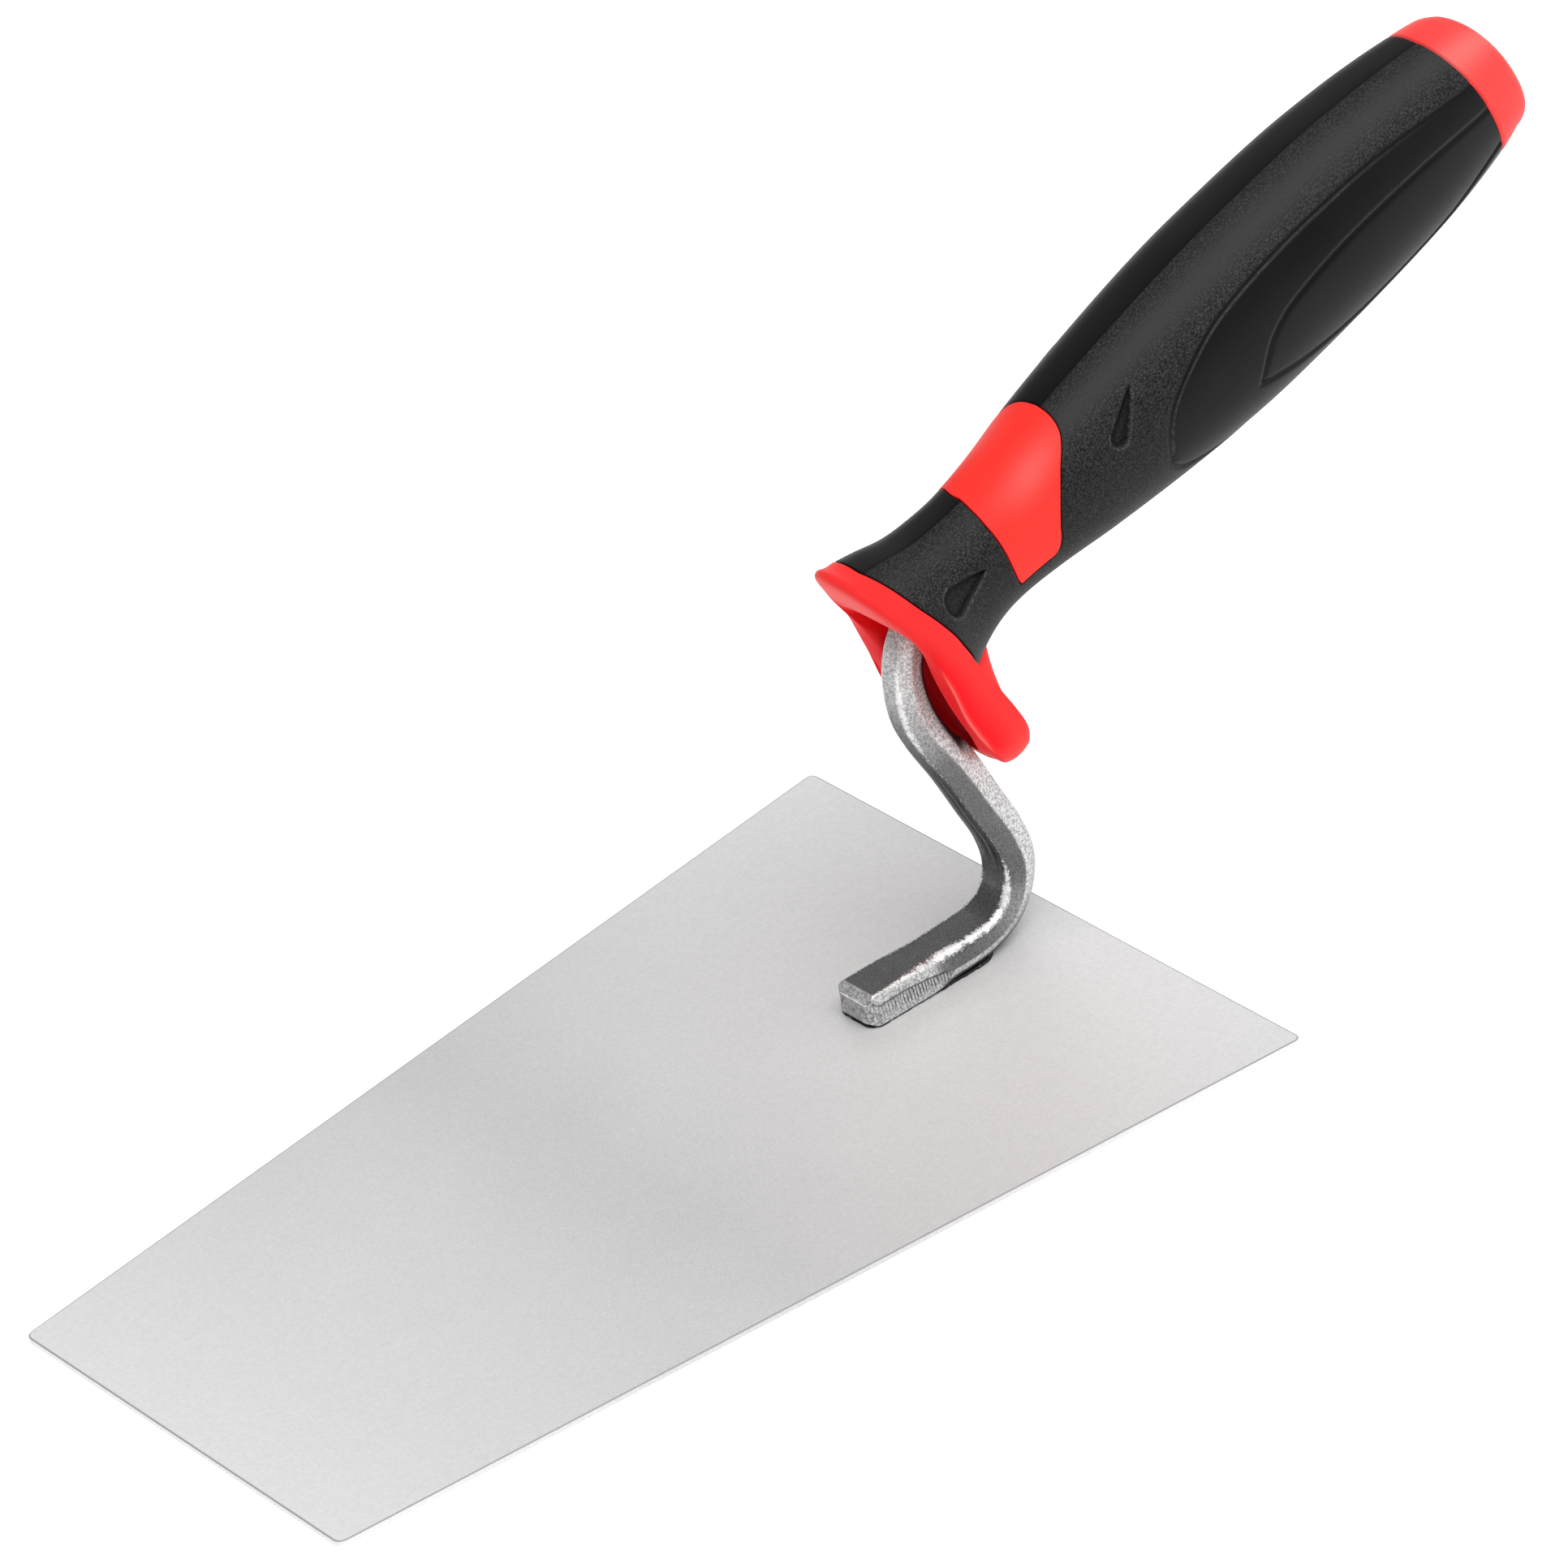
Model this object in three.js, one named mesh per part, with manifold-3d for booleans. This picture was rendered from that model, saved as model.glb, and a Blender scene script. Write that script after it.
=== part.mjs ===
// Brick trowel with a trapezoid blade, a forged swan neck and a two-material grip.
// Millimetres, +Z up, +X from the heel of the blade towards its toe, the trowel is symmetric about Y = 0.
// The origin lies on the underside of the blade, below the middle of the foot of the neck.
import * as THREE from "three";
import { mergeVertices } from "three/addons/utils/BufferGeometryUtils.js";
import Module from "manifold-3d";

// ---- driving dimensions ----
const GAP = 0.3; // clearance between neighbouring pieces
const AROUND = 48; // points around each section of the handle
const BLADE_LENGTH = 170;
const BLADE_HEEL_WIDTH = 112.5;
const BLADE_TOE_WIDTH = 75;
const BLADE_THICKNESS = 0.9;
const BLADE_CORNER_RADIUS = 1.6;
const HEEL_X = -26; // heel edge of the blade

const FOOT_TIP_X = 14; // front end of the foot
const FOOT_REAR_X = -12; // where the foot leaves the blade
const FOOT_HALF = 4.8; // half width between the ground sides of the foot
const FOOT_TAPER = 0.45; // the ground sides come closer by this much towards the tip
const FOOT_TOP = 6.4;
const FOOT_TIP_ROUND = 2.2; // corners of the foot seen from above
const GROUND_END_X = -1; // the ground sides end here
const BEHIND_GROUND = [160, 40, 240]; // size of the space behind them, larger than the whole neck
const ABOVE_FOOT = 4; // spare height of the cutting blocks over the foot
const CHAMFER_BLOCK = [8, 20];
const TIP_CHAMFER_START = 12.5;
const TIP_CHAMFER_DROP = 1.35;
const WELD_THICKNESS = 0.3;
const WELD_CLEARANCE = 0.06; // between the weld layer and the blade or the foot
const WELD_INSET = 0.15; // the weld layer lies a little inside the outline of the foot
const BAR_CORNER = 0.45; // how far the corners of the bar's section are cut back
const BAR_STEP = 1.25; // distance between the sections the bar is drawn through

const GRIP_TILT = 16.56; // degrees by which the grip rises towards its end
const GRIP_ORIGIN = [-24.34, 68.6]; // X and Z of station 0 of the grip axis
const WALL = 2.6; // thickness of the soft sleeve
const SEAM_MIDDLE = -15; // station of the middle of the face between guard and core
const CAP_SEAM = 102.3; // station of the seam between sleeve and end cap
const CAP_SEAM_LEAN = 1.3; // the seam lies this much further forward at the top
const CAP_END = 111.4; // end face of the cap on the grip axis
const CAP_END_LEAN = 0.115; // the end face leans forward by this share of the height
const CAP_CROWN = 0.2; // rise of the end face at its middle
// Rings of the cap: share of the way to the end face and how far the ring is drawn in.
const CAP_RINGS = [
  [0, 0],
  [0.35, 0],
  [0.62, 0.15],
  [0.8, 0.8],
  [0.91, 1.8],
  [0.975, 3.2],
  [1, 5.4],
];
const CAP_NARROWEST = 108; // the grip narrows up to this station
const TANG_END = 66;
const TANG_HALF = 2.5;
const TANG_START = -2; // station where the bar becomes the plain tang
const TANG_TAPER = 4; // length of its pointed end
const TANG_POINT = 0.55; // share of the section left at the very end
const PLUG_RADIUS = 5.4;
const PLUG_LENGTH = 12;
const SPIGOT_RADIUS = 6.3;
const SPIGOT_END = -3;

// Half width and half height of the grip above and below its axis, along its stations.
const GRIP_SECTIONS = [
  // station, half width, height above, depth below
  [-24, 13.2, 13.7, 17.5],
  [-18.4, 11.8, 12.2, 15.8],
  [-13.2, 10.3, 10.6, 12.4],
  [-8, 9.6, 10.0, 10.2],
  [-2.6, 9.35, 9.9, 9.8],
  [5.3, 9.9, 10.7, 10.6],
  [15.8, 11.2, 12.6, 12.2],
  [31.6, 12.55, 14.5, 14.2],
  [47.4, 13.4, 15.8, 15.5],
  [60, 13.45, 16.1, 15.7],
  [75, 13.15, 15.9, 15.4],
  [86.9, 12.6, 14.8, 14.9],
  [94.8, 11.9, 13.7, 14.2],
  [103, 10.8, 12.2, 13.0],
  [108, 9.9, 11.2, 11.6],
];
const GRIP_SQUARENESS = 2.25;

// Centre line of the bar, from the tip of the foot to the inside of the grip (X, Z).
const BAR_PATH = [
  [14, 3.8],
  [5, 3.8],
  [-3, 3.8],
  [-9, 3.85],
  [-12.3, 4.3],
  [-15.6, 5.6],
  [-18.3, 8.7],
  [-19.4, 13],
  [-18.2, 18.7],
  [-15, 25.9],
  [-11.4, 33.6],
  [-7.3, 41.3],
  [-5.1, 47.1],
  [-4.4, 51.8],
  [-4.6, 55.6],
  [-5.9, 59.2],
  [-8.4, 62.3],
  [-12.2, 64.6],
  [-17, 66.4],
];
// Section of the bar by the way from the tip: half width, depth above and below the centre line, then as
// shares of those: top flat, height of the side ridge, height and width of the lower ridge, bottom flat.
const BAR_SECTIONS = [
  [0, 4.9, 2.6, 2.6, 0.7, -0.2, -0.6, 1, 0.97],
  [7, 5.2, 2.6, 2.6, 0.68, -0.2, -0.6, 1, 0.97],
  [10.3, 5.15, 2.6, 2.6, 0.68, -0.2, -0.6, 1, 0.96],
  [14, 4.9, 2.6, 2.6, 0.72, -0.2, -0.63, 0.98, 0.93],
  [17, 4.72, 2.6, 2.6, 0.76, -0.2, -0.63, 0.95, 0.88],
  [20, 4.75, 2.6, 2.6, 0.77, -0.2, -0.63, 0.95, 0.85],
  [23, 4.75, 2.55, 2.55, 0.77, -0.15, -0.6, 0.94, 0.82],
  [26.3, 4.65, 2.5, 2.45, 0.77, -0.1, -0.5, 0.94, 0.78],
  [29.8, 4.35, 2.75, 2.7, 0.77, -0.05, -0.45, 0.93, 0.72],
  [34, 4.05, 3.2, 3.0, 0.78, 0, -0.42, 0.92, 0.66],
  [38.4, 3.8, 3.4, 3.2, 0.79, 0, -0.42, 0.92, 0.62],
  [44.2, 3.45, 3.3, 3.25, 0.8, 0, -0.42, 0.92, 0.62],
  [51, 3.25, 3.3, 3.35, 0.8, 0, -0.42, 0.92, 0.62],
  [60, 3.1, 3.2, 3.6, 0.8, 0, -0.38, 0.93, 0.62],
  [64, 3.05, 3.15, 3.7, 0.79, 0, -0.45, 0.94, 0.62],
  [67, 3.0, 3.1, 3.2, 0.78, 0, -0.68, 0.95, 0.66],
  [70, 2.95, 3.1, 2.9, 0.76, 0.05, -0.76, 0.96, 0.7],
  [75.5, 2.9, 3.15, 2.75, 0.72, 0.15, -0.76, 0.96, 0.7],
  [80, 2.85, 2.95, 2.6, 0.68, 0.2, -0.7, 0.97, 0.7],
  [84, 2.8, 2.8, 2.6, 0.64, 0.22, -0.6, 0.97, 0.68],
  [101.5, 2.7, 2.7, 2.7, 0.6, 0.25, -0.3, 1, 0.6],
];
const TANG_SECTION = [TANG_HALF, TANG_HALF, TANG_HALF, 0.6, 0.25, -0.3, 1, 0.6];

// Control point of the hollow flare between the seam and the rear edge, as shares of the way there.
const HOLLOW_REARWARD = 0.5;
const HOLLOW_OUTWARD = 0.35;
const HOLLOW_DIP = 0.08; // and further forward by this share of the distance between them
// Outline of the guard seen along the grip axis: centre below the axis, half width, top and bottom.
const GUARD_CENTRE = -6;
const GUARD_HALF_WIDTH = 13.2;
const GUARD_TOP = 20.6;
const GUARD_BOTTOM = 25.9;
const GUARD_SQUARENESS_TOP = 2.25;
const GUARD_SQUARENESS_BOTTOM = 2.8;
// Rear and front edges of the guard at each height over the grip axis: station and share of the width.
const GUARD_REAR = [
  [-31.5, -13.1, 0.97],
  [-24, -13.1, 0.93],
  [-15, -14.75, 0.83],
  [-8, -16.4, 0.85],
  [0, -19.4, 0.9],
  [8, -22.6, 0.96],
  [14.6, -24.9, 1],
];
const GUARD_FRONT = [
  [-31.5, -15.9, 0.97],
  [-28, -18, 0.95],
  [-22, -20.8, 0.89],
  [-15, -21.9, 0.77],
  [-8, -21.9, 0.75],
  [0, -22.6, 0.77],
  [5, -24, 0.83],
  [9, -25, 0.88],
  [14.6, -27.2, 0.96],
];
const MOUTH_CENTRE = -13.7;
const MOUTH_HALF_HEIGHT = 14.8;
const MOUTH_SQUARENESS = 5;
// Half width of the mouth of the pocket at each height.
const MOUTH_SPAN = [
  [-28.6, 4.5],
  [-24, 6.4],
  [-19, 7.2],
  [-13, 6.5],
  [-8, 5.6],
  [-4.6, 5.9],
  [-2, 8.3],
  [-0.5, 9.8],
  [1.1, 10],
];
const LIP_SETBACK = 0.1; // the lip of the mouth lies this much behind the front edge
const LOWER_LIP_BULGE = 1.6; // the lower lip comes forward by this much in its middle
const LOWER_LIP_SHARE = 0.6; // share of that bulge at the edge of the mouth
const LOWER_LIP_FROM = -20; // heights between which the lower lip starts to come forward
const LOWER_LIP_TO = -27;
const RIM_WIDTH_SWELL = 1.05; // the rim of the guard swells a little between its two edges
const RIM_HEIGHT_SWELL = 1.04;
const FRONT_HEIGHT_SHARE = 0.985; // the front edge is a little lower than the rear edge
const POCKET_WALL_SHARE = 0.97; // the pocket narrows to these shares towards its floor
const POCKET_FLOOR_SHARE = 0.85;
const POCKET_FILLET = 1.2;
const POCKET_FLOOR = -16.4;

// Red saddle that shows through the sleeve: stations of its edges at each angle around the grip.
const PATCH_LOW_ANGLE = -17.5; // degrees below the side of the grip
const PATCH_GAP = 0.4; // clearance around the saddle
const PATCH_REAR_CLEARANCE = 1.6; // its slanting rear edge needs more room along the grip
const PATCH_LOW_CLEARANCE = 5; // degrees of clearance below it for each millimetre of margin
const PATCH_EDGES = [
  // angle, front station, rear station
  [-17.5, -3.3, 2.4],
  [-15, -3.5, 4.2],
  [-8, -3.7, 5.3],
  [4, -3.7, 6.4],
  [20, -3.5, 8.2],
  [39, -3.3, 11.0],
  [51, -3.2, 13.3],
  [61, -3.0, 14.9],
  [75, -2.7, 15.9],
  [90, -2.2, 16.3],
];
// Seam between guard and sleeve: station at each angle, forward at the top, a point on each side.
const FRONT_SEAM = [
  [-90, -10.5],
  [-60, -11],
  [-52.5, -12.2],
  [-45, -15.9],
  [-15, -16.9],
  [0, -17.9],
  [20, -19.3],
  [45, -20.9],
  [90, -22.2],
];

const RED = 0xe8261f;
const RED_CAP = 0xee4642;
const BLACK = 0x1d1d1f;
const STEEL = 0xc9cbcd;
const ZINC = 0x9fa1a4;
const WELD = 0x2b2b2c;

// ---- helpers ----
const wasm = await Module();
wasm.setup();
const rad = THREE.MathUtils.degToRad;
const clamp = THREE.MathUtils.clamp;
const tiltCos = Math.cos(rad(GRIP_TILT));
const tiltSin = Math.sin(rad(GRIP_TILT));

// Smooth value of one column of a table at a position given by its first column.
function along(table, x, column) {
  const last = table.length - 1;
  let i = 0;
  while (i < last - 1 && x > table[i + 1][0]) i++;
  const t = clamp((x - table[i][0]) / (table[i + 1][0] - table[i][0]), 0, 1);
  const slope = (k) => {
    const lo = Math.max(k - 1, 0);
    const hi = Math.min(k + 1, last);
    return (table[hi][column] - table[lo][column]) / (table[hi][0] - table[lo][0]);
  };
  const step = table[i + 1][0] - table[i][0];
  const t2 = t * t;
  const t3 = t2 * t;
  return (
    (2 * t3 - 3 * t2 + 1) * table[i][column] +
    (t3 - 2 * t2 + t) * step * slope(i) +
    (3 * t2 - 2 * t3) * table[i + 1][column] +
    (t3 - t2) * step * slope(i + 1)
  );
}

// A point of the grip's own frame (station along the axis, Y, height over the axis) in the part's frame.
function gripPoint(s, y, h) {
  return new THREE.Vector3(
    GRIP_ORIGIN[0] - tiltCos * s + tiltSin * h,
    y,
    GRIP_ORIGIN[1] + tiltSin * s + tiltCos * h,
  );
}

// Unit superellipse coordinates at an angle.
function rounded(angle, squareness) {
  const power = 2 / squareness;
  const c = Math.cos(angle);
  const s = Math.sin(angle);
  return [Math.sign(c) * Math.abs(c) ** power, Math.sign(s) * Math.abs(s) ** power];
}

// Y and height of the grip's surface at a station and an angle, moved inwards by an inset.
function gripSection(s, angle, inset = 0) {
  const [c, n] = rounded(angle, GRIP_SQUARENESS);
  const half = along(GRIP_SECTIONS, s, 1) - inset;
  const height = along(GRIP_SECTIONS, s, n > 0 ? 2 : 3) - inset;
  return [half * c, height * n];
}

function frontSeam(angle) {
  const up = Math.asin(clamp(Math.sin(angle), -1, 1));
  return along(FRONT_SEAM, THREE.MathUtils.radToDeg(up), 1);
}

function rearSeam(angle) {
  return CAP_SEAM - CAP_SEAM_LEAN * Math.sin(angle);
}

const mix = (a, b, share) => a + (b - a) * share;
const smoothStep = (from, to, x) => {
  const u = clamp((x - from) / (to - from), 0, 1);
  return u * u * (3 - 2 * u);
};
const angles = (count) => Array.from({ length: count }, (_, i) => (i / count) * 2 * Math.PI);
const spread = (from, to, count) =>
  Array.from({ length: count }, (_, i) => from + ((to - from) * i) / (count - 1));

// A closed solid from rings of points, with a point closing each end.
function loft(rings, startPoint, endPoint) {
  const n = rings[0].length;
  const points = rings.flat();
  const faces = [];
  for (let k = 0; k < rings.length - 1; k++)
    for (let i = 0; i < n; i++) {
      const j = (i + 1) % n;
      const a = k * n + i;
      const b = k * n + j;
      faces.push(a, b, b + n, a, b + n, a + n);
    }
  const start = points.length;
  const last = (rings.length - 1) * n;
  points.push(startPoint, endPoint);
  for (let i = 0; i < n; i++) {
    const j = (i + 1) % n;
    faces.push(start, j, i, start + 1, last + i, last + j);
  }
  return solid(points, faces);
}

function middle(ring) {
  const m = new THREE.Vector3();
  ring.forEach((p) => m.add(p));
  return m.divideScalar(ring.length);
}

function solid(points, faces) {
  const geometry = new THREE.BufferGeometry();
  geometry.setAttribute(
    "position",
    new THREE.Float32BufferAttribute(points.flatMap((p) => p.toArray()), 3),
  );
  geometry.setIndex(faces);
  return toManifold(geometry);
}

function toManifold(geometry) {
  const bare = geometry.clone();
  bare.deleteAttribute("normal");
  bare.deleteAttribute("uv");
  const merged = mergeVertices(bare, 1e-4);
  const triVerts = new Uint32Array(merged.index.array);
  const mesh = new wasm.Mesh({
    numProp: 3,
    vertProperties: merged.attributes.position.array,
    triVerts,
  });
  const made = new wasm.Manifold(mesh);
  if (made.volume() > 0) return made;
  for (let i = 0; i < triVerts.length; i += 3)
    [triVerts[i + 1], triVerts[i + 2]] = [triVerts[i + 2], triVerts[i + 1]];
  return new wasm.Manifold(
    new wasm.Mesh({ numProp: 3, vertProperties: merged.attributes.position.array, triVerts }),
  );
}

function meshOf(manifold, name, color, roughness, metalness) {
  const data = manifold.getMesh();
  const geometry = new THREE.BufferGeometry();
  geometry.setAttribute("position", new THREE.BufferAttribute(data.vertProperties, 3));
  geometry.setIndex(new THREE.BufferAttribute(data.triVerts, 1));
  const flat = geometry.toNonIndexed();
  flat.computeVertexNormals();
  const mesh = new THREE.Mesh(
    flat,
    new THREE.MeshStandardMaterial({ color, roughness, metalness }),
  );
  mesh.name = name;
  return mesh;
}

// A round bar along the grip axis.
function axisBar(from, to, radius, sides = 32) {
  const ring = (s) =>
    angles(sides).map((a) => gripPoint(s, radius * Math.cos(a), radius * Math.sin(a)));
  return loft([ring(from), ring(to)], gripPoint(from, 0, 0), gripPoint(to, 0, 0));
}

// ---- blade ----
function roundedOutline(corners, radius) {
  const shape = new THREE.Shape();
  corners.forEach((corner, i) => {
    const before = corners[(i + corners.length - 1) % corners.length];
    const after = corners[(i + 1) % corners.length];
    const enter = corner.clone().add(before.clone().sub(corner).setLength(radius));
    const leave = corner.clone().add(after.clone().sub(corner).setLength(radius));
    if (i === 0) shape.moveTo(enter.x, enter.y);
    else shape.lineTo(enter.x, enter.y);
    shape.quadraticCurveTo(corner.x, corner.y, leave.x, leave.y);
  });
  shape.closePath();
  return shape;
}

const blade = new THREE.ExtrudeGeometry(
  roundedOutline(
    [
      new THREE.Vector2(HEEL_X, -BLADE_HEEL_WIDTH / 2),
      new THREE.Vector2(HEEL_X + BLADE_LENGTH, -BLADE_TOE_WIDTH / 2),
      new THREE.Vector2(HEEL_X + BLADE_LENGTH, BLADE_TOE_WIDTH / 2),
      new THREE.Vector2(HEEL_X, BLADE_HEEL_WIDTH / 2),
    ],
    BLADE_CORNER_RADIUS,
  ),
  { depth: BLADE_THICKNESS, bevelEnabled: false, curveSegments: 6 },
);

// ---- foot, weld layer and neck ----
const weldBase = BLADE_THICKNESS;

// Outline of the foot between its ground sides, seen from above.
function footOutline(inset, rear) {
  const half = FOOT_HALF - inset;
  return roundedOutline(
    [
      new THREE.Vector2(rear, -half),
      new THREE.Vector2(FOOT_TIP_X - inset, -half + FOOT_TAPER),
      new THREE.Vector2(FOOT_TIP_X - inset, half - FOOT_TAPER),
      new THREE.Vector2(rear, half),
    ],
    FOOT_TIP_ROUND,
  );
}

const weld = new THREE.ExtrudeGeometry(footOutline(WELD_INSET, FOOT_REAR_X + 1), {
  depth: WELD_THICKNESS - 2 * WELD_CLEARANCE,
  bevelEnabled: false,
  curveSegments: 6,
}).translate(0, 0, weldBase + WELD_CLEARANCE);

// Section of the bar: eight faces whose corners are cut back, as 16 points.
function barSection([half, rise, fall, flat, ridge, low, lowWidth, under], extra) {
  const side = [
    [lowWidth * half, low * fall],
    [half, ridge * rise],
    [flat * half, rise],
  ];
  const other = side.map(([y, d]) => [-y, d]).reverse();
  const corners = [...side, ...other, [-under * half, -fall], [under * half, -fall]];
  const grown = corners.map(([y, d]) => [y * (1 + extra / half), d * (1 + extra / rise)]);
  return grown.flatMap(([y, d], i) =>
    [grown[(i + 7) % 8], grown[(i + 1) % 8]].map(([oy, od]) => {
      const share = Math.min(BAR_CORNER / Math.hypot(oy - y, od - d), 0.3);
      return [mix(y, oy, share), mix(d, od, share)];
    }),
  );
}

// The bar swept along its path; the extra clearance makes the hole for it.
function bar(extra) {
  const curve = new THREE.CatmullRomCurve3(
    BAR_PATH.map(([x, z]) => new THREE.Vector3(x, 0, z)),
    false,
    "centripetal",
  );
  const length = curve.getLength();
  const count = Math.round(length / BAR_STEP);
  const ringAt = (p, tangent, section) => {
    const up = new THREE.Vector3(-tangent.z, 0, tangent.x);
    return barSection(section, extra).map(([y, d]) =>
      p.clone().addScaledVector(up, -d).add(new THREE.Vector3(0, y, 0)),
    );
  };
  const rings = spread(0, 1, count + 1).map((u) => {
    const section = BAR_SECTIONS[0].slice(1).map((_, k) => along(BAR_SECTIONS, u * length, k + 1));
    return ringAt(curve.getPointAt(u), curve.getTangentAt(u), section);
  });
  const tangDirection = new THREE.Vector3(-tiltCos, 0, tiltSin);
  const tangEnd = TANG_SECTION.map((v, k) => (k < 3 ? v * TANG_POINT : v));
  rings.push(ringAt(gripPoint(TANG_START, 0, 0), tangDirection, TANG_SECTION));
  rings.push(ringAt(gripPoint(TANG_END - TANG_TAPER, 0, 0), tangDirection, TANG_SECTION));
  rings.push(ringAt(gripPoint(TANG_END, 0, 0), tangDirection, tangEnd));
  return loft(rings, middle(rings[0]), middle(rings[rings.length - 1]));
}

// Space that the ground sides and the rounded tip of the foot leave for the bar; it opens behind them.
const groundSides = new THREE.Shape(footOutline(0, GROUND_END_X).getPoints(6));
const behindGround = new THREE.BoxGeometry(...BEHIND_GROUND).translate(
  GROUND_END_X - BEHIND_GROUND[0] / 2,
  0,
  0,
);
const groundSpace = toManifold(
  new THREE.ExtrudeGeometry(groundSides, { depth: FOOT_TOP + ABOVE_FOOT, bevelEnabled: false }),
).add(toManifold(behindGround));
// The chamfer across the top of the tip.
const chamferTurn = Math.atan2(TIP_CHAMFER_DROP, FOOT_TIP_X - TIP_CHAMFER_START);
const chamferBlock = toManifold(
  new THREE.BoxGeometry(...CHAMFER_BLOCK, ABOVE_FOOT)
    .translate(0, 0, ABOVE_FOOT / 2)
    .rotateY(chamferTurn)
    .translate(TIP_CHAMFER_START, 0, FOOT_TOP),
);
const neck = bar(0).intersect(groundSpace).subtract(chamferBlock);

// ---- guard ----
function guardOutline(angle) {
  const n = Math.sin(angle);
  const [c, s] = rounded(angle, n > 0 ? GUARD_SQUARENESS_TOP : GUARD_SQUARENESS_BOTTOM);
  return [GUARD_HALF_WIDTH * c, GUARD_CENTRE + (n > 0 ? GUARD_TOP : GUARD_BOTTOM) * s];
}

function bend(a, b, c, t) {
  const u = 1 - t;
  return [0, 1, 2].map((i) => u * u * a[i] + 2 * u * t * b[i] + t * t * c[i]);
}

function guardBody() {
  const rings = [];
  const forwardAt = (h) => LOWER_LIP_BULGE * smoothStep(LOWER_LIP_FROM, LOWER_LIP_TO, h);
  const profile = (angle) => {
    const seamAt = frontSeam(angle);
    const seam = [seamAt, ...gripSection(seamAt, angle)];
    const [y, h] = guardOutline(angle);
    const rear = [along(GUARD_REAR, h, 1), y * along(GUARD_REAR, h, 2), h];
    const front = [
      along(GUARD_FRONT, h, 1) - forwardAt(h) * (1 - (y / GUARD_HALF_WIDTH) ** 2),
      y * along(GUARD_FRONT, h, 2),
      h * FRONT_HEIGHT_SHARE,
    ];
    const flare = Math.hypot(rear[1] - seam[1], rear[2] - seam[2]);
    const hollow = [
      mix(seam[0], rear[0], HOLLOW_REARWARD) - HOLLOW_DIP * flare,
      mix(seam[1], rear[1], HOLLOW_OUTWARD),
      mix(seam[2], rear[2], HOLLOW_OUTWARD),
    ];
    const bulge = [
      (rear[0] + front[0]) / 2,
      ((rear[1] + front[1]) / 2) * RIM_WIDTH_SWELL,
      (h - GUARD_CENTRE) * RIM_HEIGHT_SWELL + GUARD_CENTRE,
    ];
    const [my, mh] = rounded(angle, MOUTH_SQUARENESS);
    const mouthH = MOUTH_CENTRE + MOUTH_HALF_HEIGHT * mh;
    const mouthY = along(MOUTH_SPAN, mouthH, 1) * my;
    const lipForward = forwardAt(mouthH) * LOWER_LIP_SHARE - LIP_SETBACK;
    const lip = [along(GUARD_FRONT, mouthH, 1) - lipForward, mouthY, mouthH];
    const narrowed = (s, share) => [s, mouthY * share, mix(MOUTH_CENTRE, mouthH, share)];
    return [
      [seamAt, ...gripSection(seamAt, angle, WALL + GAP)],
      seam,
      ...[0.25, 0.5, 0.75, 1].map((t) => bend(seam, hollow, rear, t)),
      ...[0.33, 0.67, 1].map((t) => bend(rear, bulge, front, t)),
      ...[0.5, 1].map((t) => front.map((v, i) => mix(v, lip[i], t))),
      narrowed(POCKET_FLOOR - POCKET_FILLET, POCKET_WALL_SHARE),
      narrowed(POCKET_FLOOR, POCKET_FLOOR_SHARE),
    ];
  };
  const paths = angles(AROUND).map(profile);
  for (let k = 0; k < paths[0].length; k++)
    rings.push(paths.map((path) => gripPoint(path[k][0], path[k][1], path[k][2])));
  return loft(rings, gripPoint(SEAM_MIDDLE, 0, 0), gripPoint(POCKET_FLOOR, 0, MOUTH_CENTRE));
}

const neckHole = bar(GAP);
const spigot = axisBar(-14.5, SPIGOT_END, SPIGOT_RADIUS);
const guard = guardBody().add(spigot).subtract(neckHole);

// ---- grip core, sleeve and end cap ----
// The handle between its two seams, moved inwards by an inset and made longer at both ends if asked.
function gripBody(inset, count, longer = 0) {
  const ring = (v, depth, shift = 0) =>
    angles(AROUND).map((angle) => {
      const from = frontSeam(angle) + GAP;
      const to = rearSeam(angle) - GAP;
      const s = from + (to - from) * v;
      return gripPoint(s + shift, ...gripSection(s, angle, depth));
    });
  const rings = spread(0, 1, count).map((v) => ring(v, inset));
  if (inset < WALL) rings.unshift(ring(0, WALL + GAP));
  if (longer > 0) rings.unshift(ring(0, inset, -longer));
  if (longer > 0) rings.push(ring(1, inset, longer));
  return loft(rings, gripPoint(SEAM_MIDDLE + GAP - longer, 0, 0), gripPoint(CAP_SEAM - GAP + longer, 0, 0));
}

// A block over the red saddle, from one side over the top to the other, between two insets.
function patchBlock(margin, outer, inner) {
  const half = spread(PATCH_LOW_ANGLE, 90, 17);
  if (margin > 0) half.unshift(PATCH_LOW_ANGLE - margin * PATCH_LOW_CLEARANCE);
  const sweep = [...half, ...half.slice(0, -1).reverse().map((a) => 180 - a)];
  const rings = sweep.map((angle) => {
    const folded = angle > 90 ? 180 - angle : angle;
    const front = along(PATCH_EDGES, folded, 1) - margin;
    const rear = along(PATCH_EDGES, folded, 2) + margin * PATCH_REAR_CLEARANCE;
    const edge = (inset, stations) =>
      stations.map((s) => gripPoint(s, ...gripSection(s, rad(angle), inset)));
    return [...edge(outer, spread(front, rear, 7)), ...edge(inner, spread(rear, front, 7))];
  });
  return loft(rings, middle(rings[0]), middle(rings[rings.length - 1]));
}

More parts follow.
